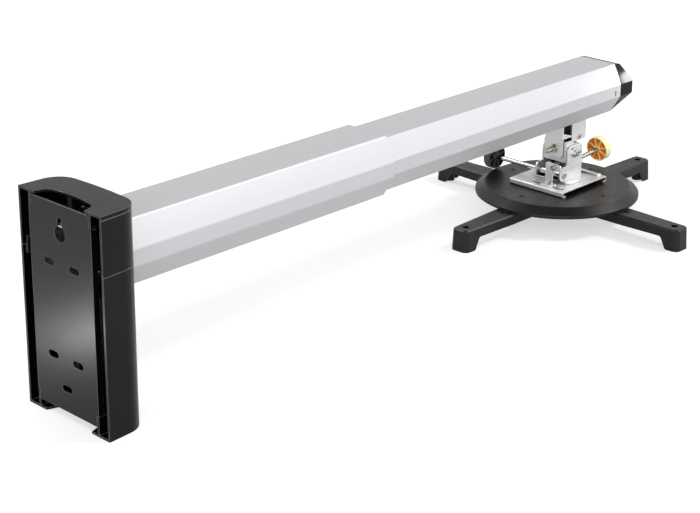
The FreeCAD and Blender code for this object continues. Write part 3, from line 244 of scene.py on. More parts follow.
# Clear-anodised extrusion: satin, with faint die lines along the boom and painted shade inside its bores.
# The lines are drawn 0.9 mm wide, coarser than real ones, so that they show
ANODISED = Finish("anodised_aluminium", "#D6D7D9", "#CFD0D3", metallic=0.4, roughness=0.48,
                  texture=Texture.EXTRUDED, grain=0.9, grain_depth=0.002, cloud=60, roughness_swing=0.03,
                  edge=0.6, hollow=70.0, gap_shade_tone="#060606")
# Zinc-flake coated sheet: bright grey, dull sheen, painted highlights on its edges and painted shade in its
# gaps
SILVER_SHEET = Finish("silver_coated_sheet", "#ECECEE", "#DEDEE0", metallic=0.56, roughness=0.30,
                      texture=Texture.ROLLED, grain=0.5, grain_depth=0.004, cloud=14, roughness_swing=0.05,
                      edge=1.2, edge_highlight_tone="#F8F8F8", hollow=50.0, gap_shade_tone="#0C0C0C", hollow_clear=0.6)
# Black electro-coat on the wall plate: smooth and fairly glossy, with painted highlights on its edges
BLACK_COAT = Finish("black_electro_coat", "#0A0A0B", "#101011", metallic=0.0, roughness=0.24,
                    texture=Texture.EVEN, grain=1.2, grain_depth=0.002, cloud=40, roughness_swing=0.02,
                    edge=1.0, specular=0.36, edge_highlight_tone="#A0A0A0")
# Spark-eroded ABS shells: even grain, drawn 0.7 mm coarse to show, and edges that catch the light
GRAINED_ABS = Finish("grained_abs", "#060606", "#050505", metallic=0.0, roughness=0.30,
                     texture=Texture.EVEN, grain=0.7, grain_depth=0.004, cloud=30, roughness_swing=0.02,
                     edge=1.3, specular=0.1, coat=0.32, edge_highlight_tone="#8E8E8E")
# Polished ABS of the end cap: the same black without grain
GLOSS_ABS = Finish("polished_abs", "#040404", "#060606", metallic=0.0, roughness=0.17,
                   texture=Texture.EVEN, grain=4.0, grain_depth=0.002, cloud=30, roughness_swing=0.02,
                   edge=0.6, specular=0.2)
# Glass-filled nylon of the spider plate and arms: dull with a slight cloud and painted highlights on its
# edges
NYLON = Finish("glass_filled_nylon", "#121213", "#0D0D0E", metallic=0.0, roughness=0.36,
               texture=Texture.EVEN, grain=0.8, grain_depth=0.010, cloud=22, roughness_swing=0.05,
               edge=1.2, specular=0.38, edge_highlight_tone="#6A6A6B")
# Zinc-plated screws and rods: bright and slightly yellowish,
# with painted highlights on their edges and painted shade in their corners
ZINC = Finish("zinc_plated_steel", "#D6D2C8", "#A8A499", metallic=1.0, roughness=0.16,
              texture=Texture.EVEN, grain=0.5, grain_depth=0.004, cloud=5, roughness_swing=0.06,
              edge=0.4, edge_highlight_tone="#FFFCF2", hollow=9.0, gap_shade_tone="#12110F", hollow_clear=0.6)
# Groove round a rivet's or pin's head, coloured dark as painted shade
GROOVE_SHADE = Finish("groove_painted_shade", "#2A2824", "#1C1B18", metallic=0.6, roughness=0.40,
               texture=Texture.EVEN, grain=0.4, grain_depth=0.004, cloud=5, roughness_swing=0.05, edge=0.2)
# Blackened screws in the spider plate: dark grey with a soft gleam
BLACK_STEEL = Finish("blackened_steel", "#1B1B1C", "#141415", metallic=0.6, roughness=0.40,
                     texture=Texture.EVEN, grain=0.4, grain_depth=0.004, cloud=5, roughness_swing=0.05,
                     edge=0.3)
# Acetal glide rings: black and waxy
ACETAL = Finish("black_acetal", "#151515", "#111111", metallic=0.0, roughness=0.45,
                texture=Texture.EVEN, grain=0.6, grain_depth=0.006, cloud=20, roughness_swing=0.03, edge=0.3)
# Yellow thumbwheel: waxy pale rim and deeper yellow spokes with painted highlights on their edges;
# the amber of its hollow is painted shade and painted light shining through the thin plastic
WHEEL_YELLOW = Finish("yellow_polypropylene", "#FFF8C4", "#FFF2AE", metallic=0.0, roughness=0.38,
                      texture=Texture.EVEN, grain=0.8, grain_depth=0.004, cloud=12, roughness_swing=0.03,
                      edge=0.5)
WHEEL_SPOKE = Finish("yellow_spoke", "#FFE88C", "#FFE076", metallic=0.0, roughness=0.34,
                     texture=Texture.EVEN, grain=0.8, grain_depth=0.004, cloud=12, roughness_swing=0.03,
                     edge=0.4, edge_highlight_tone="#FFF4B0")
WHEEL_RECESS_LIGHT_SHADE = Finish("yellow_recess_painted_light", "#F4800A", "#E86C04", metallic=0.0, roughness=0.45,
                     texture=Texture.EVEN, grain=0.8, grain_depth=0.004, cloud=8, roughness_swing=0.03,
                     edge=0.3)
# Black thumbwheel: the same moulding in black, duller; its outside and spokes are lighter grey
# as painted light, with painted highlights on their edges, and its hollow is near black as painted shade
WHEEL_BLACK = Finish("black_polypropylene", "#4A4A4B", "#3E3E3F", metallic=0.0, roughness=0.40,
                     texture=Texture.EVEN, grain=0.8, grain_depth=0.010, cloud=12, roughness_swing=0.03,
                     edge=0.5, edge_highlight_tone="#8A8A8A")
WHEEL_HOLLOW_SHADE = Finish("black_hollow_painted_shade", "#070707", "#050505", metallic=0.0, roughness=0.45,
                      texture=Texture.EVEN, grain=0.8, grain_depth=0.006, cloud=12, roughness_swing=0.03,
                      edge=0.3, specular=0.2)


def dress(finish: Finish, *nodes: str) -> None:
    """Give CAD nodes a finish in all their material slots.

    Args:
        finish: The finish they get.
        nodes: Names of CAD nodes.
    """
    for name in nodes:
        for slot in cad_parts[name].material_slots:
            slot.material = finish.material()
        LOG.info("%s is dressed in %s", name, finish.name)


def settled(form: bmesh.types.BMesh, name: str, *materials: bpy.types.Material) -> bpy.types.Mesh:
    """Turn an edit form into a mesh and let go of the form.

    Args:
        form: The edit form.
        name: The mesh's name.
        materials: What its slots hold, in order.

    Returns:
        The mesh.
    """
    mesh = bpy.data.meshes.new(name)
    form.to_mesh(mesh)
    form.free()
    for material in materials:
        mesh.materials.append(material)
    return mesh


def piece_from(name: str, mesh: bpy.types.Mesh, body: str) -> bpy.types.Object:
    """Put a finished mesh in the scene as a piece that rides on a body.

    Args:
        name: The piece's name.
        mesh: Its mesh, with its place in its points.
        body: Body that it moves with.

    Returns:
        The piece's object.
    """
    mesh.name = name
    piece = bpy.data.objects.new(name, mesh)
    bpy.context.scene.collection.objects.link(piece)
    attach(piece, body)
    LOG.info("%s has %d faces", name, len(mesh.polygons))
    return piece


def along(start: Vector, direction: Vector) -> Matrix:
    """Matrix that carries a shape on +Z at the origin to a start and a direction.

    Args:
        start: Where its origin goes.
        direction: Where its +Z points.

    Returns:
        The placing matrix.
    """
    turn = UP.rotation_difference(direction.normalized())
    return Matrix.Translation(start) @ turn.to_matrix().to_4x4()


def end_of(node: str, outward: Vector) -> Vector:
    """Middle of the end face of a CAD node's box.

    Args:
        node: The node's name.
        outward: Direction of that end, along one axis.

    Returns:
        The point.
    """
    low, high = (Vector(corner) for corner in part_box(node))
    end = (low + high) / 2
    for axis, pointing in enumerate(outward):
        if pointing:
            end[axis] = high[axis] if pointing > 0 else low[axis]
    return end


def heading(bearing: float, height: float) -> Vector:
    """Unit vector of a bearing and a height.

    Args:
        bearing: Angle from +X towards +Y, in degrees.
        height: Angle above the level, in degrees.

    Returns:
        The vector.
    """
    b, h = math.radians(bearing), math.radians(height)
    return Vector((math.cos(b) * math.cos(h), math.sin(b) * math.cos(h), math.sin(h)))


class NodeShape:
    """A geometry tree made in the script and turned into plain meshes."""

    def __init__(self, name: str, sizes: dict[str, str]) -> None:
        """Start an empty tree with named inputs.

        Args:
            name: The tree's name.
            sizes: Input names with their socket types.
        """
        self.tree = bpy.data.node_groups.new(name, "GeometryNodeTree")
        self.tree.interface.new_socket("Geometry", in_out="OUTPUT", socket_type="NodeSocketGeometry")
        for label, kind in sizes.items():
            self.tree.interface.new_socket(label, in_out="INPUT", socket_type=kind)
        self.inputs = add_node(self.tree, "NodeGroupInput").outputs

    def close(self, shape: bpy.types.NodeSocket, material: bpy.types.NodeSocket) -> None:
        """End the tree with real geometry and a material.

        Args:
            shape: The geometry so far.
            material: The material input.
        """
        real = add_node(self.tree, "GeometryNodeRealizeInstances", links={0: shape}).outputs[0]
        painted = add_node(self.tree, "GeometryNodeSetMaterial",
                           links={"Geometry": real, "Material": material}).outputs[0]
        add_node(self.tree, "NodeGroupOutput", links={"Geometry": painted})

    def mesh(self, values: dict[str, object]) -> bpy.types.Mesh:
        """Run the tree with sizes and return a plain mesh.

        Args:
            values: Input values by name.

        Returns:
            The mesh at the origin.
        """
        carrier = bpy.data.objects.new("carrier", bpy.data.meshes.new("carrier"))
        bpy.context.scene.collection.objects.link(carrier)
        modifier = carrier.modifiers.new("shape", "NODES")
        modifier.node_group = self.tree
        for item in self.tree.interface.items_tree:
            if item.in_out == "INPUT" and item.name in values:
                modifier[item.identifier] = values[item.name]
        graph = bpy.context.evaluated_depsgraph_get()
        made = bpy.data.meshes.new_from_object(carrier.evaluated_get(graph))
        bpy.data.objects.remove(carrier)
        return made


def thread_shape() -> NodeShape:
    """Rod with one helical ridge and chamfered ends, its foot at the origin, running up +Z.

    A flat grid is rolled up: its X is the angle round the rod and its Y the height.

    Returns:
        The tree, with radius, depth, lead, length, rows and material as inputs.
    """
    number, whole = "NodeSocketFloat", "NodeSocketInt"
    shape = NodeShape("helical_thread", {"Radius": number, "Depth": number, "Lead": number,
                                         "Length": number, "Rows": whole, "Material": "NodeSocketMaterial"})
    tree, size, maths = shape.tree, shape.inputs, "ShaderNodeMath"
    grid = add_node(tree, "GeometryNodeMeshGrid", values={"Size X": FULL_TURN, "Vertices X": THREAD_POINTS},
                    links={"Size Y": size["Length"], "Vertices Y": size["Rows"]}).outputs["Mesh"]
    point = add_node(tree, "GeometryNodeInputPosition").outputs[0]
    split = add_node(tree, "ShaderNodeSeparateXYZ", links={0: point}).outputs
    turn, level = split["X"], split["Y"]
    round_share = add_node(tree, maths, {"operation": "DIVIDE"}, {1: FULL_TURN}, {0: turn}).outputs[0]
    leads_up = add_node(tree, maths, {"operation": "DIVIDE"}, links={0: level, 1: size["Lead"]}).outputs[0]
    phase = add_node(tree, maths, {"operation": "ADD"}, links={0: round_share, 1: leads_up}).outputs[0]
    wrapped = add_node(tree, maths, {"operation": "FRACT"}, links={0: phase}).outputs[0]
    centred = add_node(tree, maths, {"operation": "SUBTRACT"}, {1: 0.5}, {0: wrapped}).outputs[0]
    valley = add_node(tree, maths, {"operation": "ABSOLUTE"}, links={0: centred}).outputs[0]
    deep = add_node(tree, maths, {"operation": "MULTIPLY"}, {1: 2.0}, {0: valley}).outputs[0]
    cut = add_node(tree, maths, {"operation": "MULTIPLY"}, links={0: size["Depth"], 1: deep}).outputs[0]
    ridge = add_node(tree, maths, {"operation": "SUBTRACT"}, links={0: size["Radius"], 1: cut}).outputs[0]
    half = add_node(tree, maths, {"operation": "DIVIDE"}, {1: 2.0}, {0: size["Length"]}).outputs[0]
    off_middle = add_node(tree, maths, {"operation": "ABSOLUTE"}, links={0: level}).outputs[0]
    inward = add_node(tree, maths, {"operation": "SUBTRACT"}, links={0: half, 1: off_middle}).outputs[0]
    inside = add_node(tree, maths, {"operation": "GREATER_THAN"}, {1: THREAD_END}, {0: inward}).outputs[0]
    core = add_node(tree, maths, {"operation": "SUBTRACT"},
                    links={0: size["Radius"], 1: size["Depth"]}).outputs[0]
    slope = add_node(tree, maths, {"operation": "ADD"}, links={0: core, 1: inward}).outputs[0]
    chamfered = add_node(tree, maths, {"operation": "MINIMUM"}, links={0: ridge, 1: slope}).outputs[0]
    radius = add_node(tree, maths, {"operation": "MULTIPLY"}, links={0: chamfered, 1: inside}).outputs[0]
    cosine = add_node(tree, maths, {"operation": "COSINE"}, links={0: turn}).outputs[0]
    sine = add_node(tree, maths, {"operation": "SINE"}, links={0: turn}).outputs[0]
    x = add_node(tree, maths, {"operation": "MULTIPLY"}, links={0: radius, 1: cosine}).outputs[0]
    y = add_node(tree, maths, {"operation": "MULTIPLY"}, links={0: radius, 1: sine}).outputs[0]
    z = add_node(tree, maths, {"operation": "ADD"}, links={0: level, 1: half}).outputs[0]
    place = add_node(tree, "ShaderNodeCombineXYZ", links={"X": x, "Y": y, "Z": z}).outputs[0]
    moved = add_node(tree, "GeometryNodeSetPosition", links={"Geometry": grid, "Position": place}).outputs[0]
    closed = add_node(tree, "GeometryNodeMergeByDistance", values={"Distance": THREAD_MERGE},
                      links={"Geometry": moved}).outputs[0]
    smooth = add_node(tree, "GeometryNodeSetShadeSmooth", links={"Geometry": closed}).outputs[0]
    shape.close(smooth, size["Material"])
    return shape


def spoke_shape() -> NodeShape:
    """Flat spokes set round +Z at even angles.

    Returns:
        The tree, with count, reach, thickness, depth, first angle and material as inputs.
    """
    number, whole = "NodeSocketFloat", "NodeSocketInt"
    shape = NodeShape("wheel_spokes", {"Count": whole, "Reach": number, "Thickness": number,
                                       "Depth": number, "First": number, "Material": "NodeSocketMaterial"})
    tree, size, maths = shape.tree, shape.inputs, "ShaderNodeMath"
    bar = add_node(tree, "ShaderNodeCombineXYZ",
                   links={"X": size["Reach"], "Y": size["Thickness"], "Z": size["Depth"]}).outputs[0]
    cube = add_node(tree, "GeometryNodeMeshCube", links={"Size": bar}).outputs["Mesh"]
    half_reach = add_node(tree, maths, {"operation": "DIVIDE"}, {1: 2.0}, {0: size["Reach"]}).outputs[0]
    half_depth = add_node(tree, maths, {"operation": "DIVIDE"}, {1: 2.0}, {0: size["Depth"]}).outputs[0]
    shift = add_node(tree, "ShaderNodeCombineXYZ", links={"X": half_reach, "Z": half_depth}).outputs[0]
    spoke = add_node(tree, "GeometryNodeTransform", links={"Geometry": cube, "Translation": shift}).outputs[0]
    points = add_node(tree, "GeometryNodePoints", links={"Count": size["Count"]}).outputs[0]
    index = add_node(tree, "GeometryNodeInputIndex").outputs[0]
    share = add_node(tree, maths, {"operation": "DIVIDE"}, links={0: index, 1: size["Count"]}).outputs[0]
    spread = add_node(tree, maths, {"operation": "MULTIPLY"}, {1: FULL_TURN}, {0: share}).outputs[0]
    angle = add_node(tree, maths, {"operation": "ADD"}, links={0: spread, 1: size["First"]}).outputs[0]
    turn = add_node(tree, "ShaderNodeCombineXYZ", links={"Z": angle}).outputs[0]
    ring = add_node(tree, "GeometryNodeInstanceOnPoints",
                    links={"Points": points, "Instance": spoke, "Rotation": turn}).outputs[0]
    shape.close(ring, size["Material"])
    return shape


def turned(profile: list[tuple[float, float]], bands: list[int], steps: int = 96) -> bmesh.types.BMesh:
    """Revolve an open profile that starts and ends on the axis.

    Args:
        profile: Radius and height of each point, in millimetres.
        bands: Slot number of each band between two profile points.
        steps: Number of facets round the axis.

    Returns:
        A closed mesh in edit form, in metres.
    """
    form = bmesh.new()
    angles = [FULL_TURN * i / steps for i in range(steps)]
    rings = []
    for radius, height in ((a * MM, b * MM) for a, b in profile):
        if radius < ON_AXIS:
            rings.append([form.verts.new((0, 0, height))] * steps)
            continue
        rings.append([form.verts.new((radius * math.cos(a), radius * math.sin(a), height)) for a in angles])
    for lower, upper, band in zip(rings, rings[1:], bands):
        for i in range(steps):
            j = (i + 1) % steps
            corners = list(dict.fromkeys((lower[i], lower[j], upper[j], upper[i])))
            face = form.faces.new(corners)
            face.material_index = band
            face.smooth = True
    bmesh.ops.recalc_face_normals(form, faces=form.faces)
    return form


class WheelSlot(IntEnum):
    """Slots of a thumbwheel's mesh."""

    OUTSIDE = 0
    RECESS = 1
    SPOKE = 2


@dataclass
class Thumbwheel:
    """Hollow spoked wheel, open on one face and closed on the other. Sizes in millimetres.

    The lip's points are given by how far they lie inside the rim and by their height.
    """

    radius: float = 22.5
    depth: float = 15.5
    back_round: float = 2.4
    lip: tuple[tuple[float, float], ...] = ((0.0, 1.6), (0.25, 0.7), (0.9, 0.1), (1.3, 0.1), (2.2, 0.7))
    rim: float = 2.2
    draft: float = 0.5
    face: float = 11.5
    hub: float = 6.2
    hub_foot: float = 0.8
    hub_chamfer: float = 0.5
    bore: float = 4.1
    spokes: int = 8
    spoke_thickness: float = 1.6
    spoke_foot: float = 1.0
    first_angle: float = 28.0

    def shell(self) -> bmesh.types.BMesh:
        """Make the rim, closed face and hub as one turned skin.

        Returns:
            The skin in edit form, with slots for its outside, its hollow and its hub.
        """
        r, d, e = self.radius, self.depth, self.back_round
        floor = d - self.face
        back = [(0, d), (r - e, d), (r - e / 2, d - e / 8), (r - e / 8, d - e / 2), (r, d - e)]
        lip = [(r - inset, height) for inset, height in self.lip]
        recess = [(r - self.rim - self.draft, floor), (self.hub, floor)]
        hub = [(self.hub, self.hub_foot + self.hub_chamfer), (self.hub - self.hub_chamfer, self.hub_foot),
               (self.bore, self.hub_foot), (0, self.hub_foot)]
        bands = [WheelSlot.OUTSIDE] * (len(back) + len(lip) - 1)
        bands += [WheelSlot.RECESS] * len(recess) + [WheelSlot.SPOKE] * len(hub)
        return turned(back + lip + recess + hub, bands)

    def build(self, name: str, place: Matrix, body: str, slot: str, node: str,
              finishes: tuple[Finish, Finish, Finish], spokes: NodeShape) -> bpy.types.Object:
        """Make the wheel, set it in place and let it stand for its CAD node.

        Args:
            name: The piece's name.
            place: Matrix that carries the wheel from +Z at the origin.
            body: Body that it rides on.
            slot: Record slot of its finish; not used.
            node: CAD node that it replaces.
            finishes: Outside, recess and spoke finishes.
            spokes: The shared tree of spokes.

        Returns:
            The wheel's object.
        """
        form = self.shell()
        bars = spokes.mesh({"Count": self.spokes, "Reach": (self.radius - self.rim / 2) * MM,
                            "Thickness": self.spoke_thickness * MM, "Depth": (self.depth - self.face) * MM,
                            "First": math.radians(self.first_angle),
                            "Material": finishes[WheelSlot.SPOKE].material()})
        bars.transform(Matrix.Translation((0, 0, self.spoke_foot * MM)))
        before = len(form.faces)
        form.from_mesh(bars)
        form.faces.ensure_lookup_table()
        for face in form.faces[before:]:
            face.material_index = WheelSlot.SPOKE
        mesh = settled(form, name, *(finish.material() for finish in finishes))
        mesh.transform(place)
        piece = piece_from(name, mesh, body)
        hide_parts(node)
        return piece


class FaceSlot(IntEnum):
    """Slots of a turned face's mesh."""

    BRIGHT = 0
    GROOVE = 1


@dataclass
class TurnedFace:
    """Machined face on a fastener's head: raised middle, groove darkened as painted shade, bevelled ring.

    Radius, rise, groove floor and seat are in millimetres, and the rest are shares of radius or rise.
    """

    radius: float
    rise: float = 0.8
    middle: float = 0.42
    inner_wall: float = 0.06
    groove: float = 0.70
    outer_wall: float = 0.04
    groove_floor: float = 0.1
    land: float = 0.9
    shoulder: float = 0.4
    seat: float = 0.2
    facets: int = 36

    def skin(self, place: Matrix) -> bpy.types.Mesh:
        """Make one face on a head.

        Args:
            place: Matrix that carries it from +Z at the origin.

        Returns:
            The mesh in its place, with a bright and a dark slot.
        """
        r, top, low = self.radius, self.rise, self.groove_floor
        points = [(0, top), (r * self.middle, top), (r * (self.middle + self.inner_wall), low),
                  (r * (self.groove - self.outer_wall), low), (r * self.groove, top * self.land),
                  (r * self.land, top * self.land), (r, top * self.shoulder), (r, -self.seat),
                  (0, -self.seat)]
        bands = [FaceSlot.BRIGHT] + [FaceSlot.GROOVE] * 3 + [FaceSlot.BRIGHT] * 4
        form = turned(points, bands, self.facets)
        form.transform(place)
        return settled(form, "face")


@dataclass
class Head:
    """Adjusting head under the boom: brackets, fasteners, rods and thumbwheels. Sizes in millimetres."""

    cross: tuple[float, float, float] = (1066.5, 0.0, -63.5)
    tilt: float = 4.75
    pitch_wheel: float = 134.0
    cross_wheel: float = 123.0
    rod_tip: float = 13.0
    rod_end: float = 144.0
    rod_radius: float = 4.0
    rod_thread: float = 0.9
    rod_lead: float = 4.0
    stud_length: float = 13.5
    stud_radius: float = 4.35
    stud_thread: float = 0.6
    stud_lead: float = 2.0
    pin_face: float = 4.5
    pivot_face: float = 5.6
    rod_face: float = 5.8
    bolt_face: float = 4.4
    screw_face: float = 3.6

    def build(self) -> None:
        """Dress the brackets and fasteners and make the threads, the turned faces and the wheels."""
        dress(SILVER_SHEET, "hanger_bracket", "roll_bracket", "turret", "base_plate", "lock_tab")
        dress(ZINC, "hanger_bolts", "hanger_pin", "roll_bolts", "roll_nuts", "roll_washers")
        dress(ZINC, "pitch_bolts", "pitch_nuts", "pitch_washers", "swivel_pivot", "base_screws")
        dress(ZINC, "cross_rod", "rod_spacers", "trunnion", "rod_collars", "rod_yoke")
        dress(ZINC, "lock_screw", "lock_bolt")
        thread = thread_shape()
        self.pitch_screw(thread)
        self.stud_end(thread)
        pin, pivot = self.pin_face, self.pivot_face
        self.faces("pin_faces", "boom", [("hanger_pin", NORTH, pin), ("hanger_pin", -NORTH, pin)])
        self.faces("pivot_faces", "cradle", [("pitch_bolts", NORTH, pivot), ("pitch_bolts", -NORTH, pivot)])
        self.faces("rod_face", "cross_knob", [("cross_rod", -NORTH, self.rod_face)])
        self.faces("lock_faces", "platform", [("lock_bolt", -EAST, self.bolt_face),
                                              ("lock_screw", UP, self.screw_face)])
        self.wheels(spoke_shape())

    def on_screw(self, reach: float) -> Matrix:
        """Place on the pitch screw's line.

        Args:
            reach: Distance from the trunnion's middle towards the wheel.

        Returns:
            The matrix that carries a shape on +Z at the origin there.
        """
        axis = heading(0.0, self.tilt)
        return along(Vector(self.cross) * MM + axis * reach * MM, axis)

    def wheels(self, spokes: NodeShape) -> None:
        """Make both thumbwheels.

        Args:
            spokes: The shared tree of spokes.
        """
        wheel = Thumbwheel()
        wheel.build("pitch_thumbwheel", self.on_screw(self.pitch_wheel), "pitch_knob", "knob_yellow",
                    "pitch_wheel", (WHEEL_YELLOW, WHEEL_RECESS_LIGHT_SHADE, WHEEL_SPOKE), spokes)
        rod_end = Vector(self.cross) * MM + NORTH * self.cross_wheel * MM
        wheel.build("cross_thumbwheel", along(rod_end, NORTH), "cross_knob", "knob_black",
                    "cross_wheel", (WHEEL_BLACK, WHEEL_HOLLOW_SHADE, WHEEL_BLACK), spokes)

    def faces(self, name: str, body: str, places: list[tuple[str, Vector, float]]) -> None:
        """Set turned faces on the heads at the ends of some nodes.

        Args:
            name: The piece's name.
            body: Body that it moves with.
            places: Node, direction of the end that its head is at, and radius of each face.
        """
        form = bmesh.new()
        for node, outward, radius in places:
            form.from_mesh(TurnedFace(radius).skin(along(end_of(node, outward), outward)))
        piece_from(name, settled(form, name, ZINC.material(), GROOVE_SHADE.material()), body)

    def threaded(self, thread: NodeShape, radius: float, depth: float, lead: float,
                 length: float) -> bpy.types.Mesh:
        """Cut one threaded rod at the origin.

        Args:
            thread: The shared tree of threads.
            radius: Its outer radius.
            depth: Depth of its thread.
            lead: Rise of its thread in one turn.
            length: Its length.

        Returns:
            The rod's mesh, running up +Z.
        """
        return thread.mesh({"Radius": radius * MM, "Depth": depth * MM, "Lead": lead * MM,
                            "Length": length * MM, "Rows": int(length / lead * THREAD_ROWS),
                            "Material": ZINC.material()})

    def stud_end(self, thread: NodeShape) -> None:
        """Cut a thread on the free end of the front roll bolt.

        Args:
            thread: The shared tree of threads.
        """
        mesh = self.threaded(thread, self.stud_radius, self.stud_thread, self.stud_lead, self.stud_length)
        mesh.transform(along(end_of("roll_bolts", -EAST), EAST))
        piece_from("stud_thread", mesh, "boom")

    def pitch_screw(self, thread: NodeShape) -> None:
        """Make the threaded screw that stands for the plain CAD rod.

        Args:
            thread: The shared tree of threads.
        """
        length = self.rod_end - self.rod_tip
        mesh = self.threaded(thread, self.rod_radius, self.rod_thread, self.rod_lead, length)
        mesh.transform(self.on_screw(self.rod_tip))
        piece = piece_from("pitch_screw", mesh, "pitch_knob")
        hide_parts("pitch_rod")


@dataclass
class WallUnit:
    """Wall plate, its cover shells and the fixed tube."""

    def build(self) -> None:
        """Dress the wall end."""
        dress(BLACK_COAT, "wall_plate", "tube_socket")
        dress(GRAINED_ABS, "upper_cover", "lower_cover")
        dress(ZINC, "socket_screws")
        dress(ANODISED, "outer_tube")
        dress(ACETAL, "front_glide")


@dataclass
class Boom:
    """Sliding tube with its glide and end cap."""

    def build(self) -> None:
        """Dress the sliding tube."""
        dress(ANODISED, "inner_tube")
        dress(ACETAL, "rear_glide")
        dress(GLOSS_ABS, "end_cap")


@dataclass
class Platform:
    """Round spider plate and its four arms."""

    arms: tuple[str, ...] = ("outer", "left", "inner", "right")

    def build(self) -> None:
        """Dress the plate, arms and clamp screws."""
        dress(NYLON, "spider_plate", *("arm_" + name for name in self.arms))
        dress(BLACK_STEEL, *("arm_screw_" + name for name in self.arms))


def hang(data: bpy.types.Light, place: Vector, ahead: Vector) -> bpy.types.Object:
    """Put a lamp in the scene.

    Args:
        data: The lamp's data.
        place: Where it is.
        ahead: Direction that it shines in.

    Returns:
        The lamp's object.
    """
    lamp = bpy.data.objects.new(data.name, data)
    lamp.location = place
    lamp.rotation_mode = "QUATERNION"
    lamp.rotation_quaternion = ahead.to_track_quat("-Z", "Y")
    bpy.context.scene.collection.objects.link(lamp)
    return lamp


@dataclass(frozen=True)
class FarLamp:
    """Soft lamp, far enough away to light everything alike. Angles in degrees.

    Attributes:
        name: The lamp's name.
        bearing: Where it stands, from +X towards +Y.
        height: Its angle above the level.
        spread: Angle that it fills.
        strength: Its strength; pi lights a facing white sheet to white.
        distance: How far out its object is put, in metres, which changes nothing in its light.
    """

    name: str
    bearing: float
    height: float
    spread: float
    strength: float
    distance: float = 4.0

    def light(self) -> None:
        """Put the lamp in the scene."""
        data = bpy.data.lights.new(self.name, "SUN")
        data.energy = self.strength
        data.angle = math.radians(self.spread)
        towards = heading(self.bearing, self.height)
        hang(data, towards * self.distance, -towards)


@dataclass(frozen=True)
class NearLamp:
    """Small soft disc close to the object, which a glossy face mirrors as a pale patch. Sizes in metres.

    Attributes:
        name: The lamp's name.
        place: Where it is.
        aim: Point that it faces.
        size: Its diameter.
        power: Its power in watts.
    """

    name: str
    place: tuple[float, float, float]
    aim: tuple[float, float, float]
    size: float
    power: float

    def light(self) -> None:
        """Put the lamp in the scene, unseen by the camera itself."""
        data = bpy.data.lights.new(self.name, "AREA")
        data.shape = "DISK"
        data.size = self.size
        data.energy = self.power
        lamp = hang(data, Vector(self.place), Vector(self.aim) - Vector(self.place))
        lamp.visible_camera = False


@dataclass(frozen=True)
class Viewpoint:
    """Camera at the photograph's angle.

    Attributes:
        place: Where it stands, in metres.
        bearing: Where it looks, from +X towards +Y, in degrees.
        height: Its look above the level, in degrees.
        roll: Its turn about the look, in degrees.
        focal: Focal length, in the photograph's pixels.
        shift: Shift of the frame, in the photograph's pixels.
        width: Width of the photograph, in pixels.
        sensor: Width of the sensor, in millimetres.
    """

    place: tuple[float, float, float] = (-1.283, -1.762, 0.941)
    bearing: float = 43.2
    height: float = -17.2
    roll: float = 0.39
    focal: float = 1740.0
    shift: tuple[float, float] = (-19.1, -140.0)
    width: int = 700
    sensor: float = 36.0

    def camera(self) -> None:
        """Set the scene's camera here."""
        data = bpy.data.cameras.new("camera")
        data.sensor_width = self.sensor
        data.lens = self.focal / self.width * self.sensor
        data.shift_x = self.shift[0] / self.width
        data.shift_y = self.shift[1] / self.width
        ahead = heading(self.bearing, self.height)
        right = ahead.cross(UP).normalized()
        up = right.cross(ahead)
        roll = math.radians(self.roll)
        side = right * math.cos(roll) + up * math.sin(roll)
        top = up * math.cos(roll) - right * math.sin(roll)
        turn = Matrix((side, top, -ahead)).transposed().to_4x4()
        camera = bpy.data.objects.new("camera", data)
        camera.matrix_world = Matrix.Translation(self.place) @ turn
        bpy.context.scene.collection.objects.link(camera)
        bpy.context.scene.camera = camera


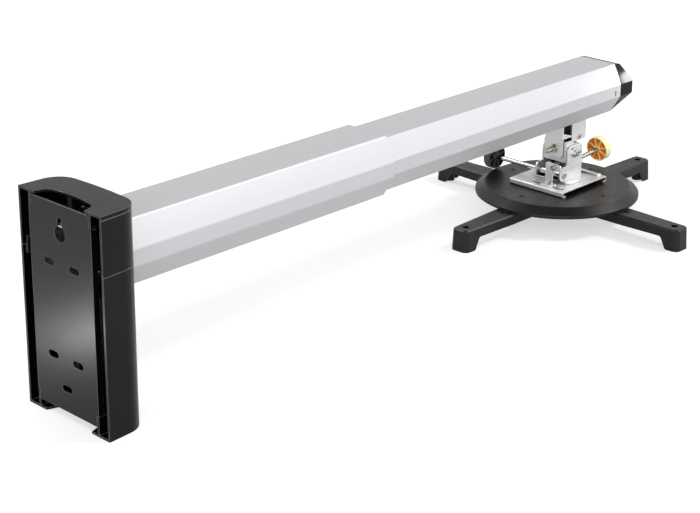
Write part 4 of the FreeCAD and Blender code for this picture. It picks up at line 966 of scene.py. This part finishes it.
@dataclass
class Studio:
    """Pale floor, soft surround, lamps and camera. Sizes in metres, angles in degrees.

    Attributes:
        floor_low: Floor level at the wall end.
        floor_high: Floor level under the head, whose feet stand higher than the cover's foot.
        ramp: Where along X the level changes.
        ramp_steps: Number of strips of the ramp.
        reach: Half the floor's side.
        floor_grey: Albedo of the floor.
        floor_glow: Light of its own that makes the open floor white to the camera.
        floor_mirrored: Share of that glow that faces mirror.
        fill: Strength of the surround as a light.
        window_side: Bearing of the brightest side that faces mirror.
        dim_from: Cosine from the window side at which the surround is dimmest.
        dim_side: Strength of that dimmest side in mirrored faces.
        ceiling: Heights, as sines, between which the surround darkens overhead.
        dim_ceiling: Share that is left of it overhead.
    """

    floor_low: float = -0.1601
    floor_high: float = -0.1426
    ramp: tuple[float, float] = (0.16, 0.74)
    ramp_steps: int = 24
    reach: float = 14.0
    floor_grey: float = 0.62
    floor_glow: float = 0.57
    floor_mirrored: float = 0.30
    fill: float = 0.35
    window_side: float = -60.0
    dim_from: float = -0.3
    dim_side: float = 0.70
    ceiling: tuple[float, float] = (0.55, 0.85)
    dim_ceiling: float = 0.25
    viewpoint: Viewpoint = Viewpoint()
    lamps: tuple[FarLamp | NearLamp, ...] = (
        FarLamp("key", bearing=-40.0, height=48.0, spread=12.0, strength=1.2),
        FarLamp("back", bearing=113.0, height=46.0, spread=16.0, strength=0.7),
        FarLamp("side", bearing=-60.0, height=12.0, spread=50.0, strength=0.6),
        FarLamp("front", bearing=216.0, height=12.0, spread=70.0, strength=1.6),
        NearLamp("pool", place=(-0.23, 0.20, -0.07), aim=(-0.23, 0.20, -0.16), size=0.06, power=1.1),
        NearLamp("glint", place=(1.291, -0.099, 0.106), aim=(1.222, -0.050, 0.090), size=0.034, power=0.08),
    )

    def floor(self) -> None:
        """Make the floor sheet, a little higher under the head than under the wall end."""
        start, end = self.ramp
        ramp = [start + (end - start) * i / self.ramp_steps for i in range(self.ramp_steps + 1)]
        form = bmesh.new()
        rows = []
        for x in (-self.reach, *ramp, self.reach):
            share = min(max((x - start) / (end - start), 0), 1)
            eased = share * share * (3 - 2 * share)
            level = self.floor_low + (self.floor_high - self.floor_low) * eased
            rows.append([form.verts.new((x, y, level)) for y in (-self.reach, self.reach)])
        for near, far in zip(rows, rows[1:]):
            form.faces.new((near[0], far[0], far[1], near[1])).smooth = True
        floor = bpy.data.objects.new("floor", settled(form, "floor", self.paper()))
        bpy.context.scene.collection.objects.link(floor)

    def paper(self) -> bpy.types.Material:
        """White paper: it glows a little to look white, and keeps the object's shadow softened by that.

        Returns:
            The floor's material.
        """
        made = bpy.data.materials.new("white_paper")
        made.use_nodes = True
        tree = made.node_tree
        tree.nodes.clear()
        grey = self.floor_grey
        diffuse = add_node(tree, "ShaderNodeBsdfDiffuse", values={"Color": (grey, grey, grey, 1)}).outputs[0]
        camera = add_node(tree, "ShaderNodeLightPath").outputs["Is Camera Ray"]
        mirrored = add_node(tree, "ShaderNodeMath", {"operation": "MULTIPLY"}, {1: self.floor_mirrored},
                            {0: self.pale_rays(tree)}).outputs[0]
        shown = add_node(tree, "ShaderNodeMath", {"operation": "MAXIMUM"},
                         links={0: camera, 1: mirrored}).outputs[0]
        strength = add_node(tree, "ShaderNodeMath", {"operation": "MULTIPLY"}, {1: self.floor_glow},
                            {0: shown}).outputs[0]
        glow = add_node(tree, "ShaderNodeEmission", values={"Color": (1, 1, 1, 1)},
                        links={"Strength": strength}).outputs[0]
        both = add_node(tree, "ShaderNodeAddShader", links={0: diffuse, 1: glow}).outputs[0]
        add_node(tree, "ShaderNodeOutputMaterial", links={"Surface": both})
        return made

    def pale_rays(self, tree: bpy.types.NodeTree) -> bpy.types.NodeSocket:
        """One for rays that show the surround: seen, mirrored or passed through.

        Args:
            tree: The tree that asks.

        Returns:
            The socket with one or nought.
        """
        path = add_node(tree, "ShaderNodeLightPath").outputs
        mirrored = add_node(tree, "ShaderNodeMath", {"operation": "MAXIMUM"},
                            links={0: path["Is Glossy Ray"], 1: path["Is Transmission Ray"]}).outputs[0]
        return add_node(tree, "ShaderNodeMath", {"operation": "MAXIMUM"},
                        links={0: path["Is Camera Ray"], 1: mirrored}).outputs[0]

    def world(self) -> None:
        """Make the surround.

        It is white where it is seen, dimmer away from the window side and overhead where it is mirrored,
        and weaker as a light.
        """
        world = bpy.data.worlds.new("studio")
        bpy.context.scene.world = world
        world.use_nodes = True
        tree = world.node_tree
        tree.nodes.clear()
        direction = add_node(tree, "ShaderNodeTexCoord").outputs["Generated"]
        facing = add_node(tree, "ShaderNodeVectorMath", {"operation": "DOT_PRODUCT"},
                          {1: heading(self.window_side, 0.0)}, {0: direction}).outputs["Value"]
        height = add_node(tree, "ShaderNodeSeparateXYZ", links={0: direction}).outputs["Z"]
        sides = add_node(tree, "ShaderNodeMapRange",
                         values={"From Min": self.dim_from, "To Min": self.dim_side, "To Max": 1.0},
                         links={"Value": facing}).outputs["Result"]
        ceiling = add_node(tree, "ShaderNodeMapRange", {"interpolation_type": "SMOOTHSTEP"},
                           {"From Min": self.ceiling[0], "From Max": self.ceiling[1], "To Min": 1.0,
                            "To Max": self.dim_ceiling}, {"Value": height}).outputs["Result"]
        mirrored = add_node(tree, "ShaderNodeMath", {"operation": "MULTIPLY"},
                            links={0: sides, 1: ceiling}).outputs[0]
        camera = add_node(tree, "ShaderNodeLightPath").outputs["Is Camera Ray"]
        white = add_node(tree, "ShaderNodeMath", {"operation": "MAXIMUM"},
                         links={0: mirrored, 1: camera}).outputs[0]
        strength = add_node(tree, "ShaderNodeMix", {"data_type": "FLOAT"}, {2: self.fill},
                            {0: self.pale_rays(tree), 3: white}).outputs[0]
        sky = add_node(tree, "ShaderNodeBackground", values={"Color": (1, 1, 1, 1)},
                       links={"Strength": strength}).outputs[0]
        add_node(tree, "ShaderNodeOutputWorld", links={"Surface": sky})

    def build(self) -> None:
        """Set up the floor, surround, lamps and camera."""
        bpy.context.scene.view_settings.view_transform = "Standard"
        self.floor()
        self.world()
        for lamp in self.lamps:
            lamp.light()
            LOG.info("lamp %s is hung", lamp.name)
        self.viewpoint.camera()


def main() -> None:
    """Build every sub-assembly in order, then the stage."""
    logging.basicConfig(level=logging.INFO, format="%(name)s %(message)s")
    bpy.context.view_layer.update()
    for part in (WallUnit(), Boom(), Head(), Platform(), Studio()):
        part.build()
        LOG.info("%s is done", type(part).__name__)
    bpy.context.view_layer.update()


if __name__ == "__main__":
    main()
